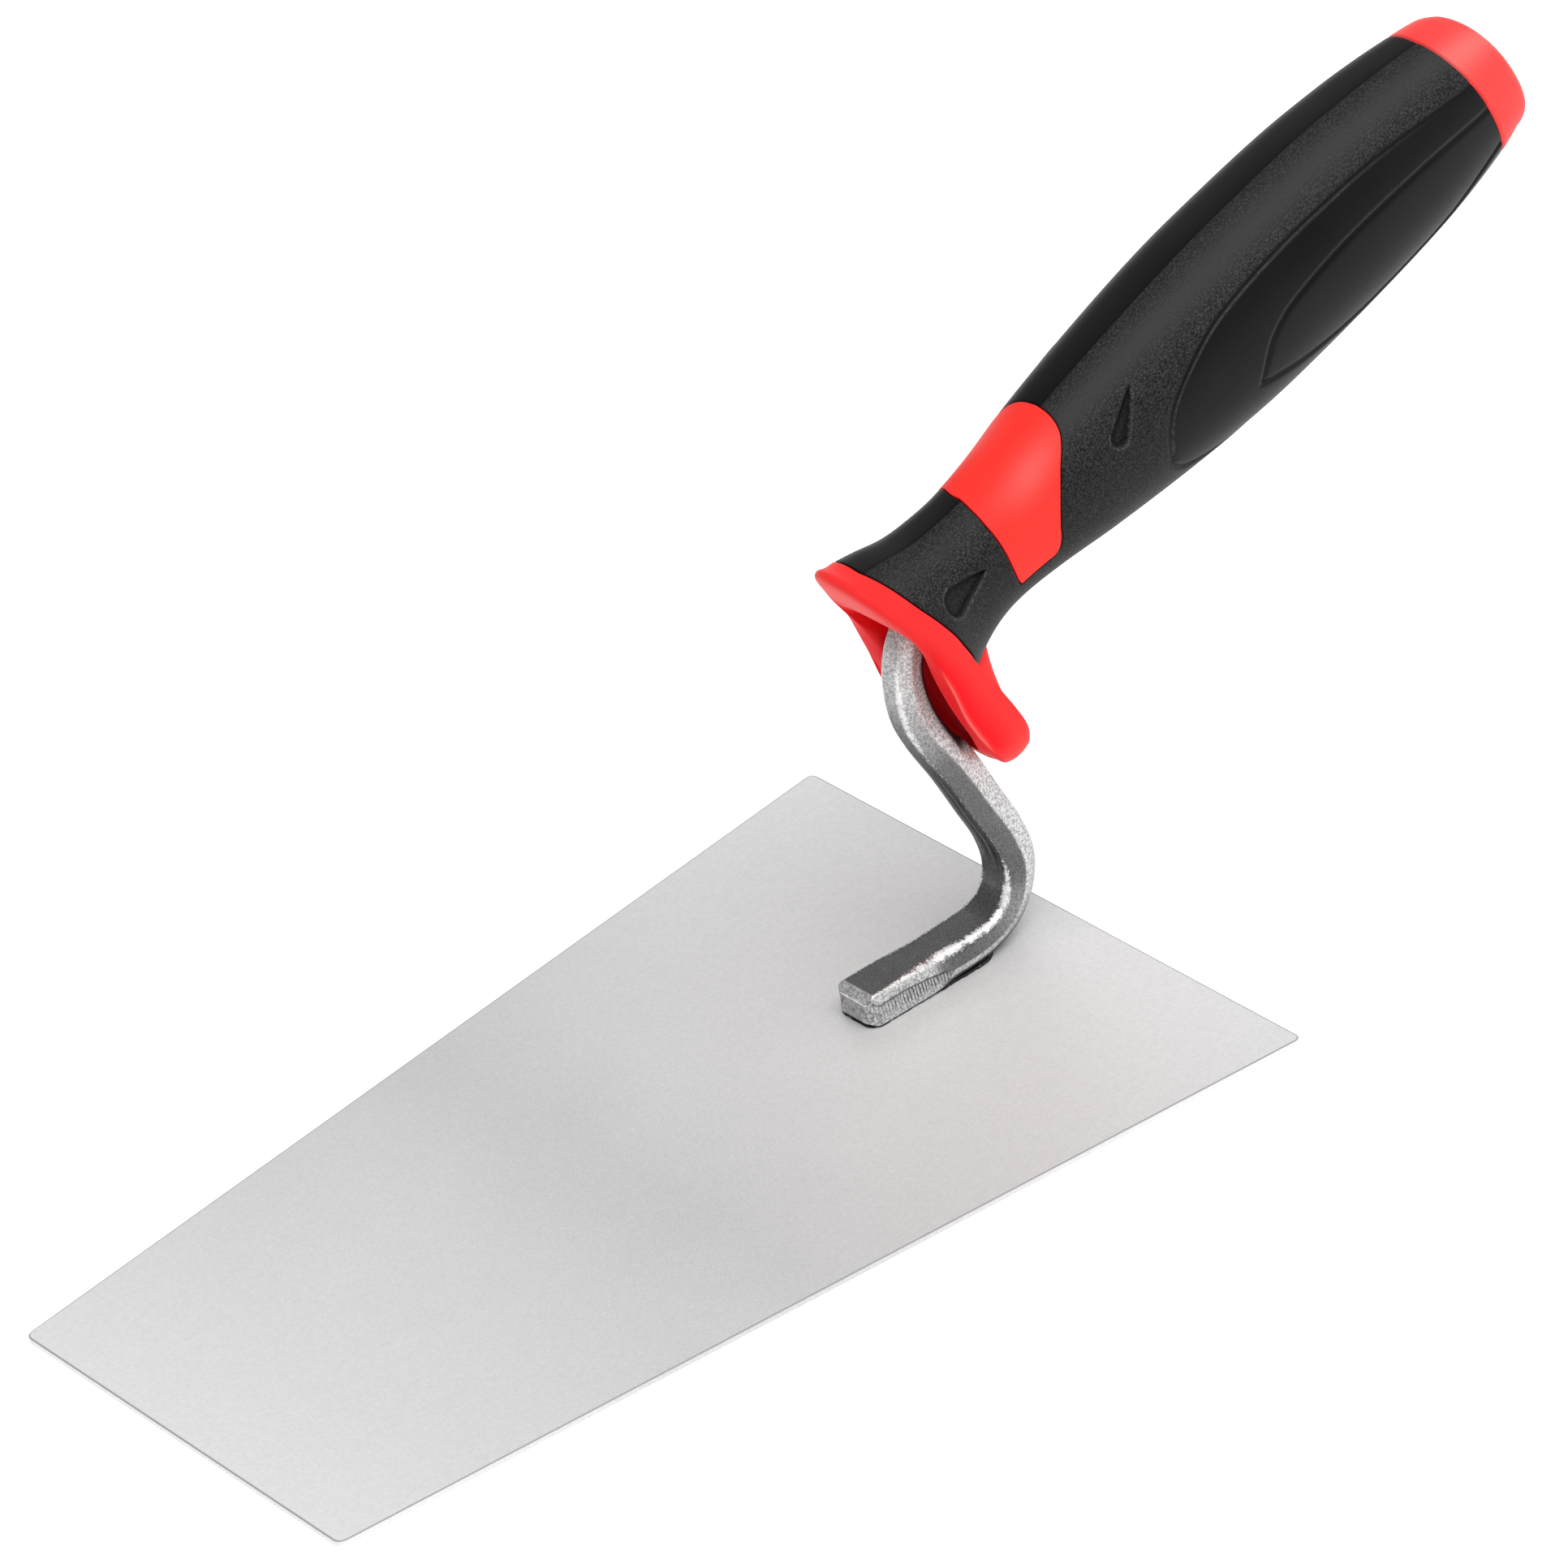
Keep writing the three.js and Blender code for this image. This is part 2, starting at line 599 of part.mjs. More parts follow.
const core = gripBody(WALL + GAP, 18)
  .add(patchBlock(0, 0, WALL + 1.2))
  .subtract(axisBar(-30, SPIGOT_END + GAP, SPIGOT_RADIUS + GAP))
  .subtract(neckHole)
  .subtract(axisBar(CAP_SEAM - PLUG_LENGTH - GAP, CAP_END, PLUG_RADIUS + GAP));
const sleeve = gripBody(0, 32)
  .subtract(gripBody(WALL, 18, 4))
  .subtract(patchBlock(PATCH_GAP, -2, WALL + 2));

function capBody() {
  const rings = CAP_RINGS.map(([share, inset]) =>
    angles(AROUND).map((angle) => {
      const from = rearSeam(angle);
      const rim = gripSection(CAP_NARROWEST, angle, inset)[1];
      const s = from + (CAP_END - CAP_END_LEAN * rim - from) * share;
      return gripPoint(s, ...gripSection(Math.min(s, CAP_NARROWEST), angle, inset));
    }),
  );
  return loft(rings, gripPoint(CAP_SEAM, 0, 0), gripPoint(CAP_END + CAP_CROWN, 0, 0));
}
const cap = capBody().add(axisBar(CAP_SEAM - PLUG_LENGTH, CAP_SEAM + 2, PLUG_RADIUS));

// ---- assembly ----
const trowel = new THREE.Group();
trowel.name = "brick_trowel";
trowel.add(
  meshOf(toManifold(blade), "blade", STEEL, 0.35, 1),
  meshOf(toManifold(weld), "weld_layer", WELD, 0.8, 0.3),
  meshOf(neck, "neck_shank", ZINC, 0.5, 0.9),
  meshOf(guard, "finger_guard", RED, 0.45, 0),
  meshOf(core, "handle_core", RED, 0.45, 0),
  meshOf(sleeve, "grip_sleeve", BLACK, 0.75, 0),
  meshOf(cap, "end_cap", RED_CAP, 0.45, 0),
);

export default trowel;
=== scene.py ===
import math

import bmesh
import bpy
import numpy as np
from mathutils import Matrix, Vector


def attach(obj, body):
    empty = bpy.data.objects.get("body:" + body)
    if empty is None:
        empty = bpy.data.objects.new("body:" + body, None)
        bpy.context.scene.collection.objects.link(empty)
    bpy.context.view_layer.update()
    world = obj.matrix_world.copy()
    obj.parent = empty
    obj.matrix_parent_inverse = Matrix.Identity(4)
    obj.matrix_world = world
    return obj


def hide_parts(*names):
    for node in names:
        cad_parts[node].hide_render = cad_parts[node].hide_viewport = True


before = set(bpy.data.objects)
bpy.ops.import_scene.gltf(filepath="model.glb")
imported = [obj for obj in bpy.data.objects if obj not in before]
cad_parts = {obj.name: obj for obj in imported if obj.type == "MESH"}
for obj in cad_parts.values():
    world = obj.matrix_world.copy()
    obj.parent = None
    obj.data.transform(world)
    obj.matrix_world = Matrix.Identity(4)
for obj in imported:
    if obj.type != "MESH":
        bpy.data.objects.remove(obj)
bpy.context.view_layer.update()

# Lengths in the tables are millimetres and angles are degrees; points are handed to Blender in metres.
MM = 0.001

# ---- camera and lights ----
# Places in metres, lens and sensor in millimetres.
CAMERA_AT = (0.66126, 0.89019, 0.77440)
CAMERA_AZIMUTH = 144.2355
CAMERA_ELEVATION = 33.5217
CAMERA_ROLL = -9.048
LENS = 204.97
SENSOR = 36.0
LIGHT_AIM = (0, 0, 0.03)
LIGHTS = [
    # name, place, width and height, power
    ("overhead", (0.05, 0.4, 1.25), (1.2, 0.9), 12.0),
    ("far_side", (-0.8, -1.1, 0.95), (1.2, 0.8), 1.6),
    ("near_right", (-1.0, 0.7, 0.45), (0.6, 0.8), 1.4),
]

# ---- blade, weld layer and foot ----
BLADE_LENGTH = 170.0
BLADE_HEEL_WIDTH = 112.3
BLADE_TOE_WIDTH = 74.9
BLADE_THICKNESS = 0.9
BLADE_CORNER = 1.6
BLADE_BEVEL = 0.13
BLADE_NICKS = 0.02
HEEL_X = -26.0
FOOT_TIP_X = 14.0
FOOT_REAR_X = -12.0
FOOT_HALF = 4.8
FOOT_TAPER = 0.5
FOOT_BASE = 1.2
FOOT_TOP = 6.4
FOOT_TIP_ROUND = 2.2
WELD_TOP = 1.2
LONGEST_ROUND = 0.45  # a rounded corner takes up this share of a side at most

# ---- grip ----
GRIP_TILT = math.radians(16.56)
GRIP_ORIGIN = (-24.34, 68.6)
GRIP_SQUARENESS = 2.25
WALL = 2.6
HIDDEN_GAP = 0.3
SEAM_GAP = 0.09
SEAM_MIDDLE = -15.0
CAP_SEAM = 102.3
CAP_SEAM_LEAN = 1.3
CAP_END = 111.2
CAP_END_LEAN = 0.115
CAP_CROWN = 0.2
CAP_NARROWEST = 108.0
CAP_TRIM = 0.04
GRIP_SECTIONS = [
    # station, half width, height above, depth below
    (-24, 13.2, 13.7, 17.5),
    (-18.4, 11.8, 12.2, 15.8),
    (-13.2, 10.3, 10.6, 12.4),
    (-8, 9.6, 10.0, 10.2),
    (-2.6, 9.35, 9.9, 9.8),
    (5.3, 9.9, 10.7, 10.6),
    (15.8, 11.2, 12.6, 12.2),
    (31.6, 12.55, 14.5, 14.2),
    (47.4, 13.4, 15.8, 15.5),
    (60, 13.45, 16.1, 15.7),
    (75, 13.15, 15.9, 15.4),
    (86.9, 12.6, 14.8, 14.9),
    (94.8, 11.9, 13.7, 14.2),
    (103, 10.8, 12.2, 13.0),
    (108, 9.9, 11.2, 11.6),
]
FRONT_SEAM = [
    # angle, station
    (-90, -10.5),
    (-60, -11),
    (-52.5, -12.2),
    (-45, -15.9),
    (-15, -16.9),
    (0, -17.9),
    (20, -19.3),
    (45, -20.9),
    (90, -22.2),
]
PATCH_LOW = -17.5
PATCH_FAR_SHIFT = 2.1
PATCH_RADIUS = 10.0  # rounded radius of the grip where the saddle is
SADDLE_EDGE = 0.22
PATCH_EDGES = [
    # angle, front station, rear station
    (-17.5, -3.3, 2.4),
    (-15, -3.5, 4.2),
    (-8, -3.7, 5.3),
    (4, -3.7, 6.4),
    (20, -3.5, 8.2),
    (39, -3.3, 11.0),
    (51, -3.2, 13.3),
    (61, -3.0, 14.9),
    (75, -2.7, 15.9),
    (90, -2.2, 16.3),
]
CAP_RINGS = [
    # share of the way to the end face, how far the ring is drawn in
    (0, 0),
    (0.35, 0),
    (0.62, 0.15),
    (0.8, 0.8),
    (0.91, 1.8),
    (0.975, 3.2),
    (1, 5.4),
]

# ---- grip sleeve ----
# Leaf lines moulded into the sleeve: station and angle of each point.
OUTER_LEAF = [
    (106, 24),
    (99.4, 31),
    (87.7, 37.5),
    (76, 41),
    (59.6, 42),
    (46.6, 38.6),
    (38.8, 31),
    (31.6, 17),
    (28.3, 3),
    (27.1, -9),
    (27.3, -21),
    (31, -35),
    (42, -52),
    (60, -64),
    (80, -64),
    (106, -56),
]
INNER_LEAF = [
    (107, 1),
    (99.4, 7.5),
    (87, 13),
    (70, 14.7),
    (57.5, 11.4),
    (52.4, 6.7),
    (48.7, -1),
    (46.3, -11),
    (46.1, -15),
    (49.3, -20),
    (57.3, -30),
    (70, -40),
    (86, -41),
    (96.7, -31.6),
    (107, -20),
]
# Sunk drops: station and angle of the round end, its radius, station and angle of the tip.
DROPS = [
    (-14.7, 22.0, 2.5, -7.8, 21.5),
    (20.9, 24.5, 1.55, 27.2, 47.0),
]
PARTING_ANGLE = 87.6
STRIP_END = 150.0  # the smooth strip beyond the parting line ends at this angle
SLEEVE_EDGE = 0.28
EDGE_STEPS = np.array([0, 0.07, 0.16, 0.28, 0.42])
SLEEVE_COLUMNS = np.arange(360) - 89.5
ROWS_FRONT = 46
ROWS_WINDOW = 40
ROWS_REAR = 225

# ---- neck ----
BAR_PATH = [
    # X, Z
    (14, 3.8),
    (5, 3.8),
    (-3, 3.8),
    (-9, 3.85),
    (-12.3, 4.3),
    (-15.6, 5.6),
    (-18.3, 8.7),
    (-19.4, 13),
    (-18.2, 18.7),
    (-15, 25.9),
    (-11.4, 33.6),
    (-7.3, 41.3),
    (-5.1, 47.1),
    (-4.4, 51.8),
    (-4.6, 55.6),
    (-5.9, 59.2),
    (-8.4, 62.3),
    (-12.2, 64.6),
    (-17, 66.4),
]
BAR_SECTIONS = [
    # way from the tip, half width, depth above, depth below, then as shares of those: top flat,
    # height of the side ridge, height and width of the lower ridge, bottom flat; shoulder radius
    (0, 4.9, 2.6, 2.6, 0.7, -0.2, -0.6, 1, 0.97, 0.5),
    (7, 5.2, 2.6, 2.6, 0.68, -0.2, -0.6, 1, 0.97, 0.8),
    (10.3, 5.15, 2.6, 2.6, 0.68, -0.2, -0.6, 1, 0.96, 1.2),
    (14, 4.9, 2.6, 2.6, 0.72, -0.2, -0.63, 0.98, 0.93, 1.5),
    (17, 4.72, 2.6, 2.6, 0.76, -0.2, -0.63, 0.95, 0.88, 1.5),
    (20, 4.75, 2.6, 2.6, 0.77, -0.2, -0.63, 0.95, 0.85, 1.4),
    (23, 4.75, 2.55, 2.55, 0.77, -0.15, -0.6, 0.94, 0.82, 1.3),
    (26.3, 4.65, 2.5, 2.45, 0.77, -0.1, -0.5, 0.94, 0.78, 1.25),
    (29.8, 4.35, 2.75, 2.7, 0.77, -0.05, -0.45, 0.93, 0.72, 1.25),
    (34, 4.05, 3.2, 3.0, 0.78, 0, -0.42, 0.92, 0.66, 1.2),
    (38.4, 3.8, 3.4, 3.2, 0.79, 0, -0.42, 0.92, 0.62, 0.8),
    (44.2, 3.45, 3.3, 3.25, 0.8, 0, -0.42, 0.92, 0.62, 0.4),
    (51, 3.25, 3.3, 3.35, 0.8, 0, -0.42, 0.92, 0.62, 0.4),
    (60, 3.1, 3.2, 3.6, 0.8, 0, -0.38, 0.93, 0.62, 0.45),
    (64, 3.05, 3.15, 3.7, 0.79, 0, -0.45, 0.94, 0.62, 0.55),
    (67, 3.0, 3.1, 3.2, 0.78, 0, -0.68, 0.95, 0.66, 0.65),
    (70, 2.95, 3.1, 2.9, 0.76, 0.05, -0.76, 0.96, 0.7, 0.8),
    (75.5, 2.9, 3.15, 2.75, 0.72, 0.15, -0.76, 0.96, 0.7, 1.0),
    (80, 2.85, 2.95, 2.6, 0.68, 0.2, -0.7, 0.97, 0.7, 1.0),
    (84, 2.8, 2.8, 2.6, 0.64, 0.22, -0.6, 0.97, 0.68, 0.95),
    (101.5, 2.7, 2.7, 2.7, 0.6, 0.25, -0.3, 1, 0.6, 0.9),
]
BAR_TONES = [
    # way from the tip, brightness of the flank, the top face, the shoulder line and the underside: partly
    # the faces' own finish and partly painted light and shade, with a painted highlight on the shoulder line
    # and painted shade under the bar inside the guard
    (0, 1, 0.0, 0.6, 0.3),
    (12.5, 1, 0.0, 0.8, 0.2),
    (15.0, 0.16, 0.0, 1.0, 0.1),
    (25, 0.14, 0.0, 1.0, 0.15),
    (30, 0.34, 0.0, 1.0, 0.5),
    (34, 0.26, 0.0, 1.0, 0.9),
    (38, 0.06, 0.02, 0.9, 1.0),
    (43, 0.05, 0.03, 0.35, 1.0),
    (63.5, 0.07, 0.04, 0.35, 1.0),
    (66, 0.12, 0.12, 0.4, 0.0),
    (70, 0.35, 0.3, 0.6, 0.0),
    (76, 0.6, 0.5, 1.0, 0.0),
    (82, 0.85, 0.7, 0.8, 0.0),
    (88, 0.9, 0.85, 0.3, 0.0),
    (101.5, 0.9, 0.9, 0.2, 0.5),
]
# Painted shade of fine grooves along the top face of the shank.
DARK_STREAKS = [
    # place across the top face, width, strength
    (0.2, 0.1, 0.95),
    (0.56, 0.06, 0.85),
]
FOOT_STEP = 0.08
FOOT_STEPS_END = 16.0
SHANK_STEP = 0.15
CORNER_STEPS = 7
FACE_STEPS = 14
LOWER_RIDGE_RADIUS = 0.7
SIDE_RIDGE_RADIUS = 0.45
BOTTOM_RADIUS = 0.5
TIP_CHAMFER_START = 12.5
TIP_CHAMFER_DROP = 1.35
TIP_LIFT = 0.45
FOOT_END = 19.0  # the foot is ground and cut up to here
CUT_SPACING = 0.6
CUT_DEPTH = 0.05
CUT_LEAN = 0.14
TANG_START = -2.0
TANG_END = 66.0
TANG_HALF = 2.5
TANG_TAPER = 4.0
TANG_POINT = 0.55

# ---- guard ----
GUARD_CENTRE = -6.0
GUARD_HALF_WIDTH = 13.2
GUARD_TOP = 20.6
GUARD_BOTTOM = 25.9
GUARD_SQUARENESS_TOP = 2.25
GUARD_SQUARENESS_BOTTOM = 2.8
HOLLOW_REARWARD = 0.5
HOLLOW_OUTWARD = 0.35
HOLLOW_DIP = 0.08
GUARD_REAR = [
    # height, station, share of the width
    (-31.5, -13.1, 0.97),
    (-24, -13.1, 0.93),
    (-15, -14.75, 0.83),
    (-8, -16.4, 0.85),
    (0, -19.4, 0.9),
    (8, -22.6, 0.96),
    (14.6, -24.9, 1),
]
GUARD_FRONT = [
    # height, station, share of the width
    (-31.5, -15.9, 0.97),
    (-28, -18, 0.95),
    (-22, -20.8, 0.89),
    (-15, -21.9, 0.77),
    (-8, -21.9, 0.75),
    (0, -22.6, 0.77),
    (5, -24, 0.83),
    (9, -25, 0.88),
    (14.6, -27.2, 0.96),
]
MOUTH_CENTRE = -13.7
MOUTH_HALF_HEIGHT = 14.8
MOUTH_SQUARENESS = 5.0
MOUTH_SPAN = [
    # height, half width
    (-28.6, 4.5),
    (-24, 6.4),
    (-19, 7.2),
    (-13, 6.5),
    (-8, 5.6),
    (-4.6, 5.9),
    (-2, 8.3),
    (-0.5, 9.8),
    (1.1, 10.0),
]
LOWER_LIP_BULGE = 1.6
LOWER_LIP = (-20, -27)  # heights between which the lower lip starts to bulge
FRONT_LOWER = 0.985  # the front edge lies this much closer to the axis
RIM_WIDER = 1.05
RIM_TALLER = 1.04
RIM_TOP_RISE = 0.7
RIM_STEPS = 14
FACE_SHARES = (0.06, 0.14, 0.3, 0.5, 0.7, 0.88, 0.96)
SMOOTHING_STEPS = 12
POCKET_FLOOR = -16.4
# Painted shade on the rows down into the guard's pocket, darkest deep inside.
POCKET_PAINTED_SHADE = (0.1, 0.3, 0.55, 0.75, 0.9, 1, 1, 1, 1, 1)


# ---- shape helpers ----
def hermite(u, a, b, leaving, arriving):
    """Point between a and b at the share u, with the given runs at both ends."""
    u2 = u * u
    u3 = u2 * u
    return ((2 * u3 - 3 * u2 + 1) * a + (u3 - 2 * u2 + u) * leaving
            + (3 * u2 - 2 * u3) * b + (u3 - u2) * arriving)


def along(table, x, column):
    """Smooth value of one column of a table at the positions x given by its first column."""
    t = np.array(table, float)
    x = np.asarray(x, float)
    last = len(t) - 1
    i = np.clip(np.searchsorted(t[:, 0], x, side="right") - 1, 0, last - 1)
    before = np.maximum(np.arange(last + 1) - 1, 0)
    after = np.minimum(np.arange(last + 1) + 1, last)
    slope = (t[after, column] - t[before, column]) / (t[after, 0] - t[before, 0])
    step = t[i + 1, 0] - t[i, 0]
    u = np.clip((x - t[i, 0]) / step, 0, 1)
    return hermite(u, t[i, column], t[i + 1, column], step * slope[i], step * slope[i + 1])


def smooth_step(low, high, x):
    u = np.clip((x - low) / (high - low), 0, 1)
    return u * u * (3 - 2 * u)


def hump(x, middle, width):
    """1 at the middle, falling smoothly to 0 within about twice the width."""
    return np.exp(-(((x - middle) / width) ** 2))


def corner_point(u, start, corner, end):
    """Point at the share u of a curve that rounds a corner."""
    return (1 - u) ** 2 * start + 2 * u * (1 - u) * corner + u * u * end


def power(value, exponent):
    return np.sign(value) * np.abs(value) ** exponent


def ripple(x, seed):
    """Irregular wave between about -1 and 1."""
    total = 0
    for k, (rate, weight) in enumerate(((1.0, 0.42), (1.73, 0.34), (2.91, 0.24), (0.41, 0.3))):
        total = total + weight * np.sin(x * rate + seed * (k + 1.7))
    return total


def edge_drop(distance, radius):
    """Depth of a rounded edge at a distance from it."""
    x = np.clip(distance, 0, radius)
    return radius - np.sqrt(np.maximum(radius**2 - (radius - x) ** 2, 0))


def closed_curve(points, per):
    """Smooth closed curve through points, a few samples between each pair."""
    p = np.array(points, float)
    out = []
    for i in range(len(p)):
        a, b, c, d = (p[(i + k) % len(p)] for k in (-1, 0, 1, 2))
        for u in np.arange(per) / per:
            out.append(hermite(u, b, c, (c - a) / 2, (d - b) / 2))
    return np.array(out)


def curve_distance(points, curve):
    """Signed distance of points to a closed curve in the plane, negative inside."""
    best = np.full(len(points), 1e9)
    inside = np.zeros(len(points), bool)
    x = points[:, 0]
    y = points[:, 1]
    for a, b in zip(curve, np.roll(curve, -1, 0)):
        side = b - a
        u = np.clip(((x - a[0]) * side[0] + (y - a[1]) * side[1]) / (side @ side + 1e-12), 0, 1)
        best = np.minimum(best, np.hypot(x - a[0] - u * side[0], y - a[1] - u * side[1]))
        crosses = (a[1] > y) != (b[1] > y)
        run = (y - a[1]) / (side[1] if side[1] else 1e-12)
        inside ^= crosses & (x < a[0] + run * side[0])
    return np.where(inside, -best, best)


# ---- places on the grip ----
def grip_point(s, y, h):
    """Points of the grip's own frame (station, Y, height over the axis) in the object's frame."""
    c = math.cos(GRIP_TILT)
    n = math.sin(GRIP_TILT)
    x = GRIP_ORIGIN[0] - c * s + n * h
    z = GRIP_ORIGIN[1] + n * s + c * h
    return np.stack([x, y + 0 * x, z], -1)


def grip_section(s, angle, inset=0.0):
    """Y and height of the grip's surface at stations and angles, moved inwards by an inset."""
    a = np.radians(angle)
    c = power(np.cos(a), 2 / GRIP_SQUARENESS)
    n = power(np.sin(a), 2 / GRIP_SQUARENESS)
    half = along(GRIP_SECTIONS, s, 1) - inset
    height = np.where(n > 0, along(GRIP_SECTIONS, s, 2), along(GRIP_SECTIONS, s, 3)) - inset
    return half * c, height * n


def grip_surface(s, angle, inset=0.0):
    y, h = grip_section(s, angle, inset)
    return grip_point(s, y, h)


def grip_radius(s):
    """Mean radius of the upper half of the grip."""
    return 0.5 * (along(GRIP_SECTIONS, s, 1) + along(GRIP_SECTIONS, s, 2))


def folded(angle):
    """Angle on the near side that mirrors an angle of either side."""
    return np.degrees(np.arcsin(np.clip(np.sin(np.radians(angle)), -1, 1)))


def front_seam(angle):
    return along(FRONT_SEAM, folded(angle), 1)


def rear_seam(angle):
    return CAP_SEAM - CAP_SEAM_LEAN * np.sin(np.radians(angle))


def patch_front(angle):
    """Station of the front edge of the saddle, further to the rear beyond the top of the grip."""
    far = PATCH_FAR_SHIFT * smooth_step(88, 130, angle) * smooth_step(250, 200, angle)
    return along(PATCH_EDGES, np.maximum(folded(angle), PATCH_LOW), 1) + far


def patch_rear(angle):
    return along(PATCH_EDGES, np.maximum(folded(angle), PATCH_LOW), 2)


# ---- mesh helpers ----
def make_piece(name, points, faces, material, values=None, sharp=None):
    """A mesh object from points in millimetres, merged where points coincide."""
    mesh = bpy.data.meshes.new(name)
    bm = bmesh.new()
    layers = {key: bm.verts.layers.float.new(key) for key in (values or {})}
    made = [bm.verts.new(p) for p in (np.asarray(points) * MM).tolist()]
    for key, column in (values or {}).items():
        layer = layers[key]
        for v, value in zip(made, np.asarray(column).tolist()):
            v[layer] = value
    for f in faces:
        try:
            bm.faces.new([made[i] for i in f])
        except ValueError:
            continue
    bmesh.ops.remove_doubles(bm, verts=bm.verts, dist=2e-7)
    bmesh.ops.dissolve_degenerate(bm, edges=bm.edges, dist=1e-8)
    loose = [v for v in bm.verts if not v.link_faces]
    bmesh.ops.delete(bm, geom=loose, context="VERTS")
    bmesh.ops.recalc_face_normals(bm, faces=bm.faces)
    if bm.calc_volume(signed=True) < 0:
        bmesh.ops.reverse_faces(bm, faces=bm.faces)
    if sharp:
        for e in bm.edges:
            if len(e.link_faces) == 2 and e.calc_face_angle() > math.radians(sharp):
                e.smooth = False
    for f in bm.faces:
        f.smooth = True
    bm.to_mesh(mesh)
    bm.free()
    mesh.materials.append(material)
    piece = bpy.data.objects.new(name, mesh)
    bpy.context.scene.collection.objects.link(piece)
    return piece


def tube_faces(rows, columns):
    """Faces of an open tube of rows of points."""
    faces = []
    for k in range(rows - 1):
        a = k * columns
        for i in range(columns):
            j = (i + 1) % columns
            faces.append((a + i, a + j, a + j + columns, a + i + columns))
    return faces


def closed_tube(rings, start, end):
    """Points and faces of a tube of rings, closed by a fan around a point at each end."""
    rows = len(rings)
    columns = len(rings[0])
    faces = tube_faces(rows, columns)
    for first, centre in ((0, rows * columns), ((rows - 1) * columns, rows * columns + 1)):
        faces += [(first + i, first + (i + 1) % columns, centre) for i in range(columns)]
    return np.concatenate([*rings, [start], [end]]), faces


def closed_stack(levels, count):
    """Faces of a tube with one flat face at each end."""
    faces = tube_faces(levels, count)
    faces.append(tuple(range(count)))
    faces.append(tuple(range((levels - 1) * count, levels * count)))
    return faces


def strip_faces(rows, columns, first):
    """Faces of an open sheet of rows of points."""
    faces = []
    for k in range(rows - 1):
        a = first + k * columns
        for i in range(columns - 1):
            faces.append((a + i, a + i + 1, a + i + 1 + columns, a + i + columns))
    return faces


# ---- material helpers ----
class Nodes:
    """A material with one principled shader, and short names for the nodes that feed it."""

    def __init__(self, name):
        self.material = bpy.data.materials.new(name)
        self.material.use_nodes = True
        self.tree = self.material.node_tree
        self.tree.nodes.clear()
        output = self.tree.nodes.new("ShaderNodeOutputMaterial")
        self.shader = self.tree.nodes.new("ShaderNodeBsdfPrincipled")
        self.join(self.shader.outputs[0], output.inputs[0])
        self.place = self.tree.nodes.new("ShaderNodeTexCoord").outputs["Object"]

    def join(self, source, target):
        self.tree.links.new(source, target)

    def put(self, socket, value):
        if hasattr(value, "is_output"):
            self.join(value, socket)
        else:
            socket.default_value = value

    def stretch(self, scale):
        node = self.tree.nodes.new("ShaderNodeMapping")
        node.inputs["Scale"].default_value = scale
        self.join(self.place, node.inputs["Vector"])
        return node.outputs[0]

    def noise(self, scale, detail=2.0, rough=0.5, vector=None):
        node = self.tree.nodes.new("ShaderNodeTexNoise")
        node.inputs["Scale"].default_value = scale
        node.inputs["Detail"].default_value = detail
        node.inputs["Roughness"].default_value = rough
        self.join(vector or self.place, node.inputs["Vector"])
        return node.outputs["Fac"]

    def value(self, name):
        node = self.tree.nodes.new("ShaderNodeAttribute")
        node.attribute_name = name
        return node.outputs["Fac"]

    def along(self, axis):
        node = self.tree.nodes.new("ShaderNodeSeparateXYZ")
        self.join(self.place, node.inputs[0])
        return node.outputs[axis]

    def spread(self, source, low, high, to_low=0.0, to_high=1.0):
        node = self.tree.nodes.new("ShaderNodeMapRange")
        self.join(source, node.inputs["Value"])
        for key, number in zip(("From Min", "From Max", "To Min", "To Max"), (low, high, to_low, to_high)):
            node.inputs[key].default_value = number
        return node.outputs[0]

    def maths(self, operation, a, b):
        node = self.tree.nodes.new("ShaderNodeMath")
        node.operation = operation
        self.put(node.inputs[0], a)
        self.put(node.inputs[1], b)
        return node.outputs[0]

    def scaled(self, source, factor, offset):
        return self.maths("ADD", self.maths("MULTIPLY", source, factor), offset)

    def blend(self, factor, a, b):
        node = self.tree.nodes.new("ShaderNodeMix")
        node.data_type = "RGBA"
        self.put(node.inputs[0], factor)
        self.put(node.inputs[6], a)
        self.put(node.inputs[7], b)
        return node.outputs[2]

    def bump(self, height, strength, distance):
        node = self.tree.nodes.new("ShaderNodeBump")
        self.put(node.inputs["Strength"], strength)
        node.inputs["Distance"].default_value = distance
        self.join(height, node.inputs["Height"])
        return node.outputs[0]

    def finish(self, **sockets):
        for key, value in sockets.items():
            self.put(self.shader.inputs[key.replace("_", " ")], value)
        return self.material


def grey(value):
    return (value, value, value, 1.0)


# ---- materials ----
RED_GUARD = (0.94, 0.031, 0.032, 1.0)
RED_SADDLE = (1.0, 0.04, 0.031, 1.0)
RED_CAP = (1.0, 0.064, 0.06, 1.0)
# RED_LIT is the colour of painted highlights on the red parts.
RED_LIT = (1.0, 0.175, 0.16, 1.0)
# RED_VIVID and RED_DEEP are painted shade: a more saturated red on shaded faces, a dark red deep in the
# guard's pocket.
RED_VIVID = (0.93, 0.003, 0.01, 1.0)
RED_DEEP = (0.42, 0.0, 0.004, 1.0)
# RED_EDGE is a painted highlight along the crease of the guard's front rim.
RED_EDGE = (1.0, 0.2, 0.17, 1.0)


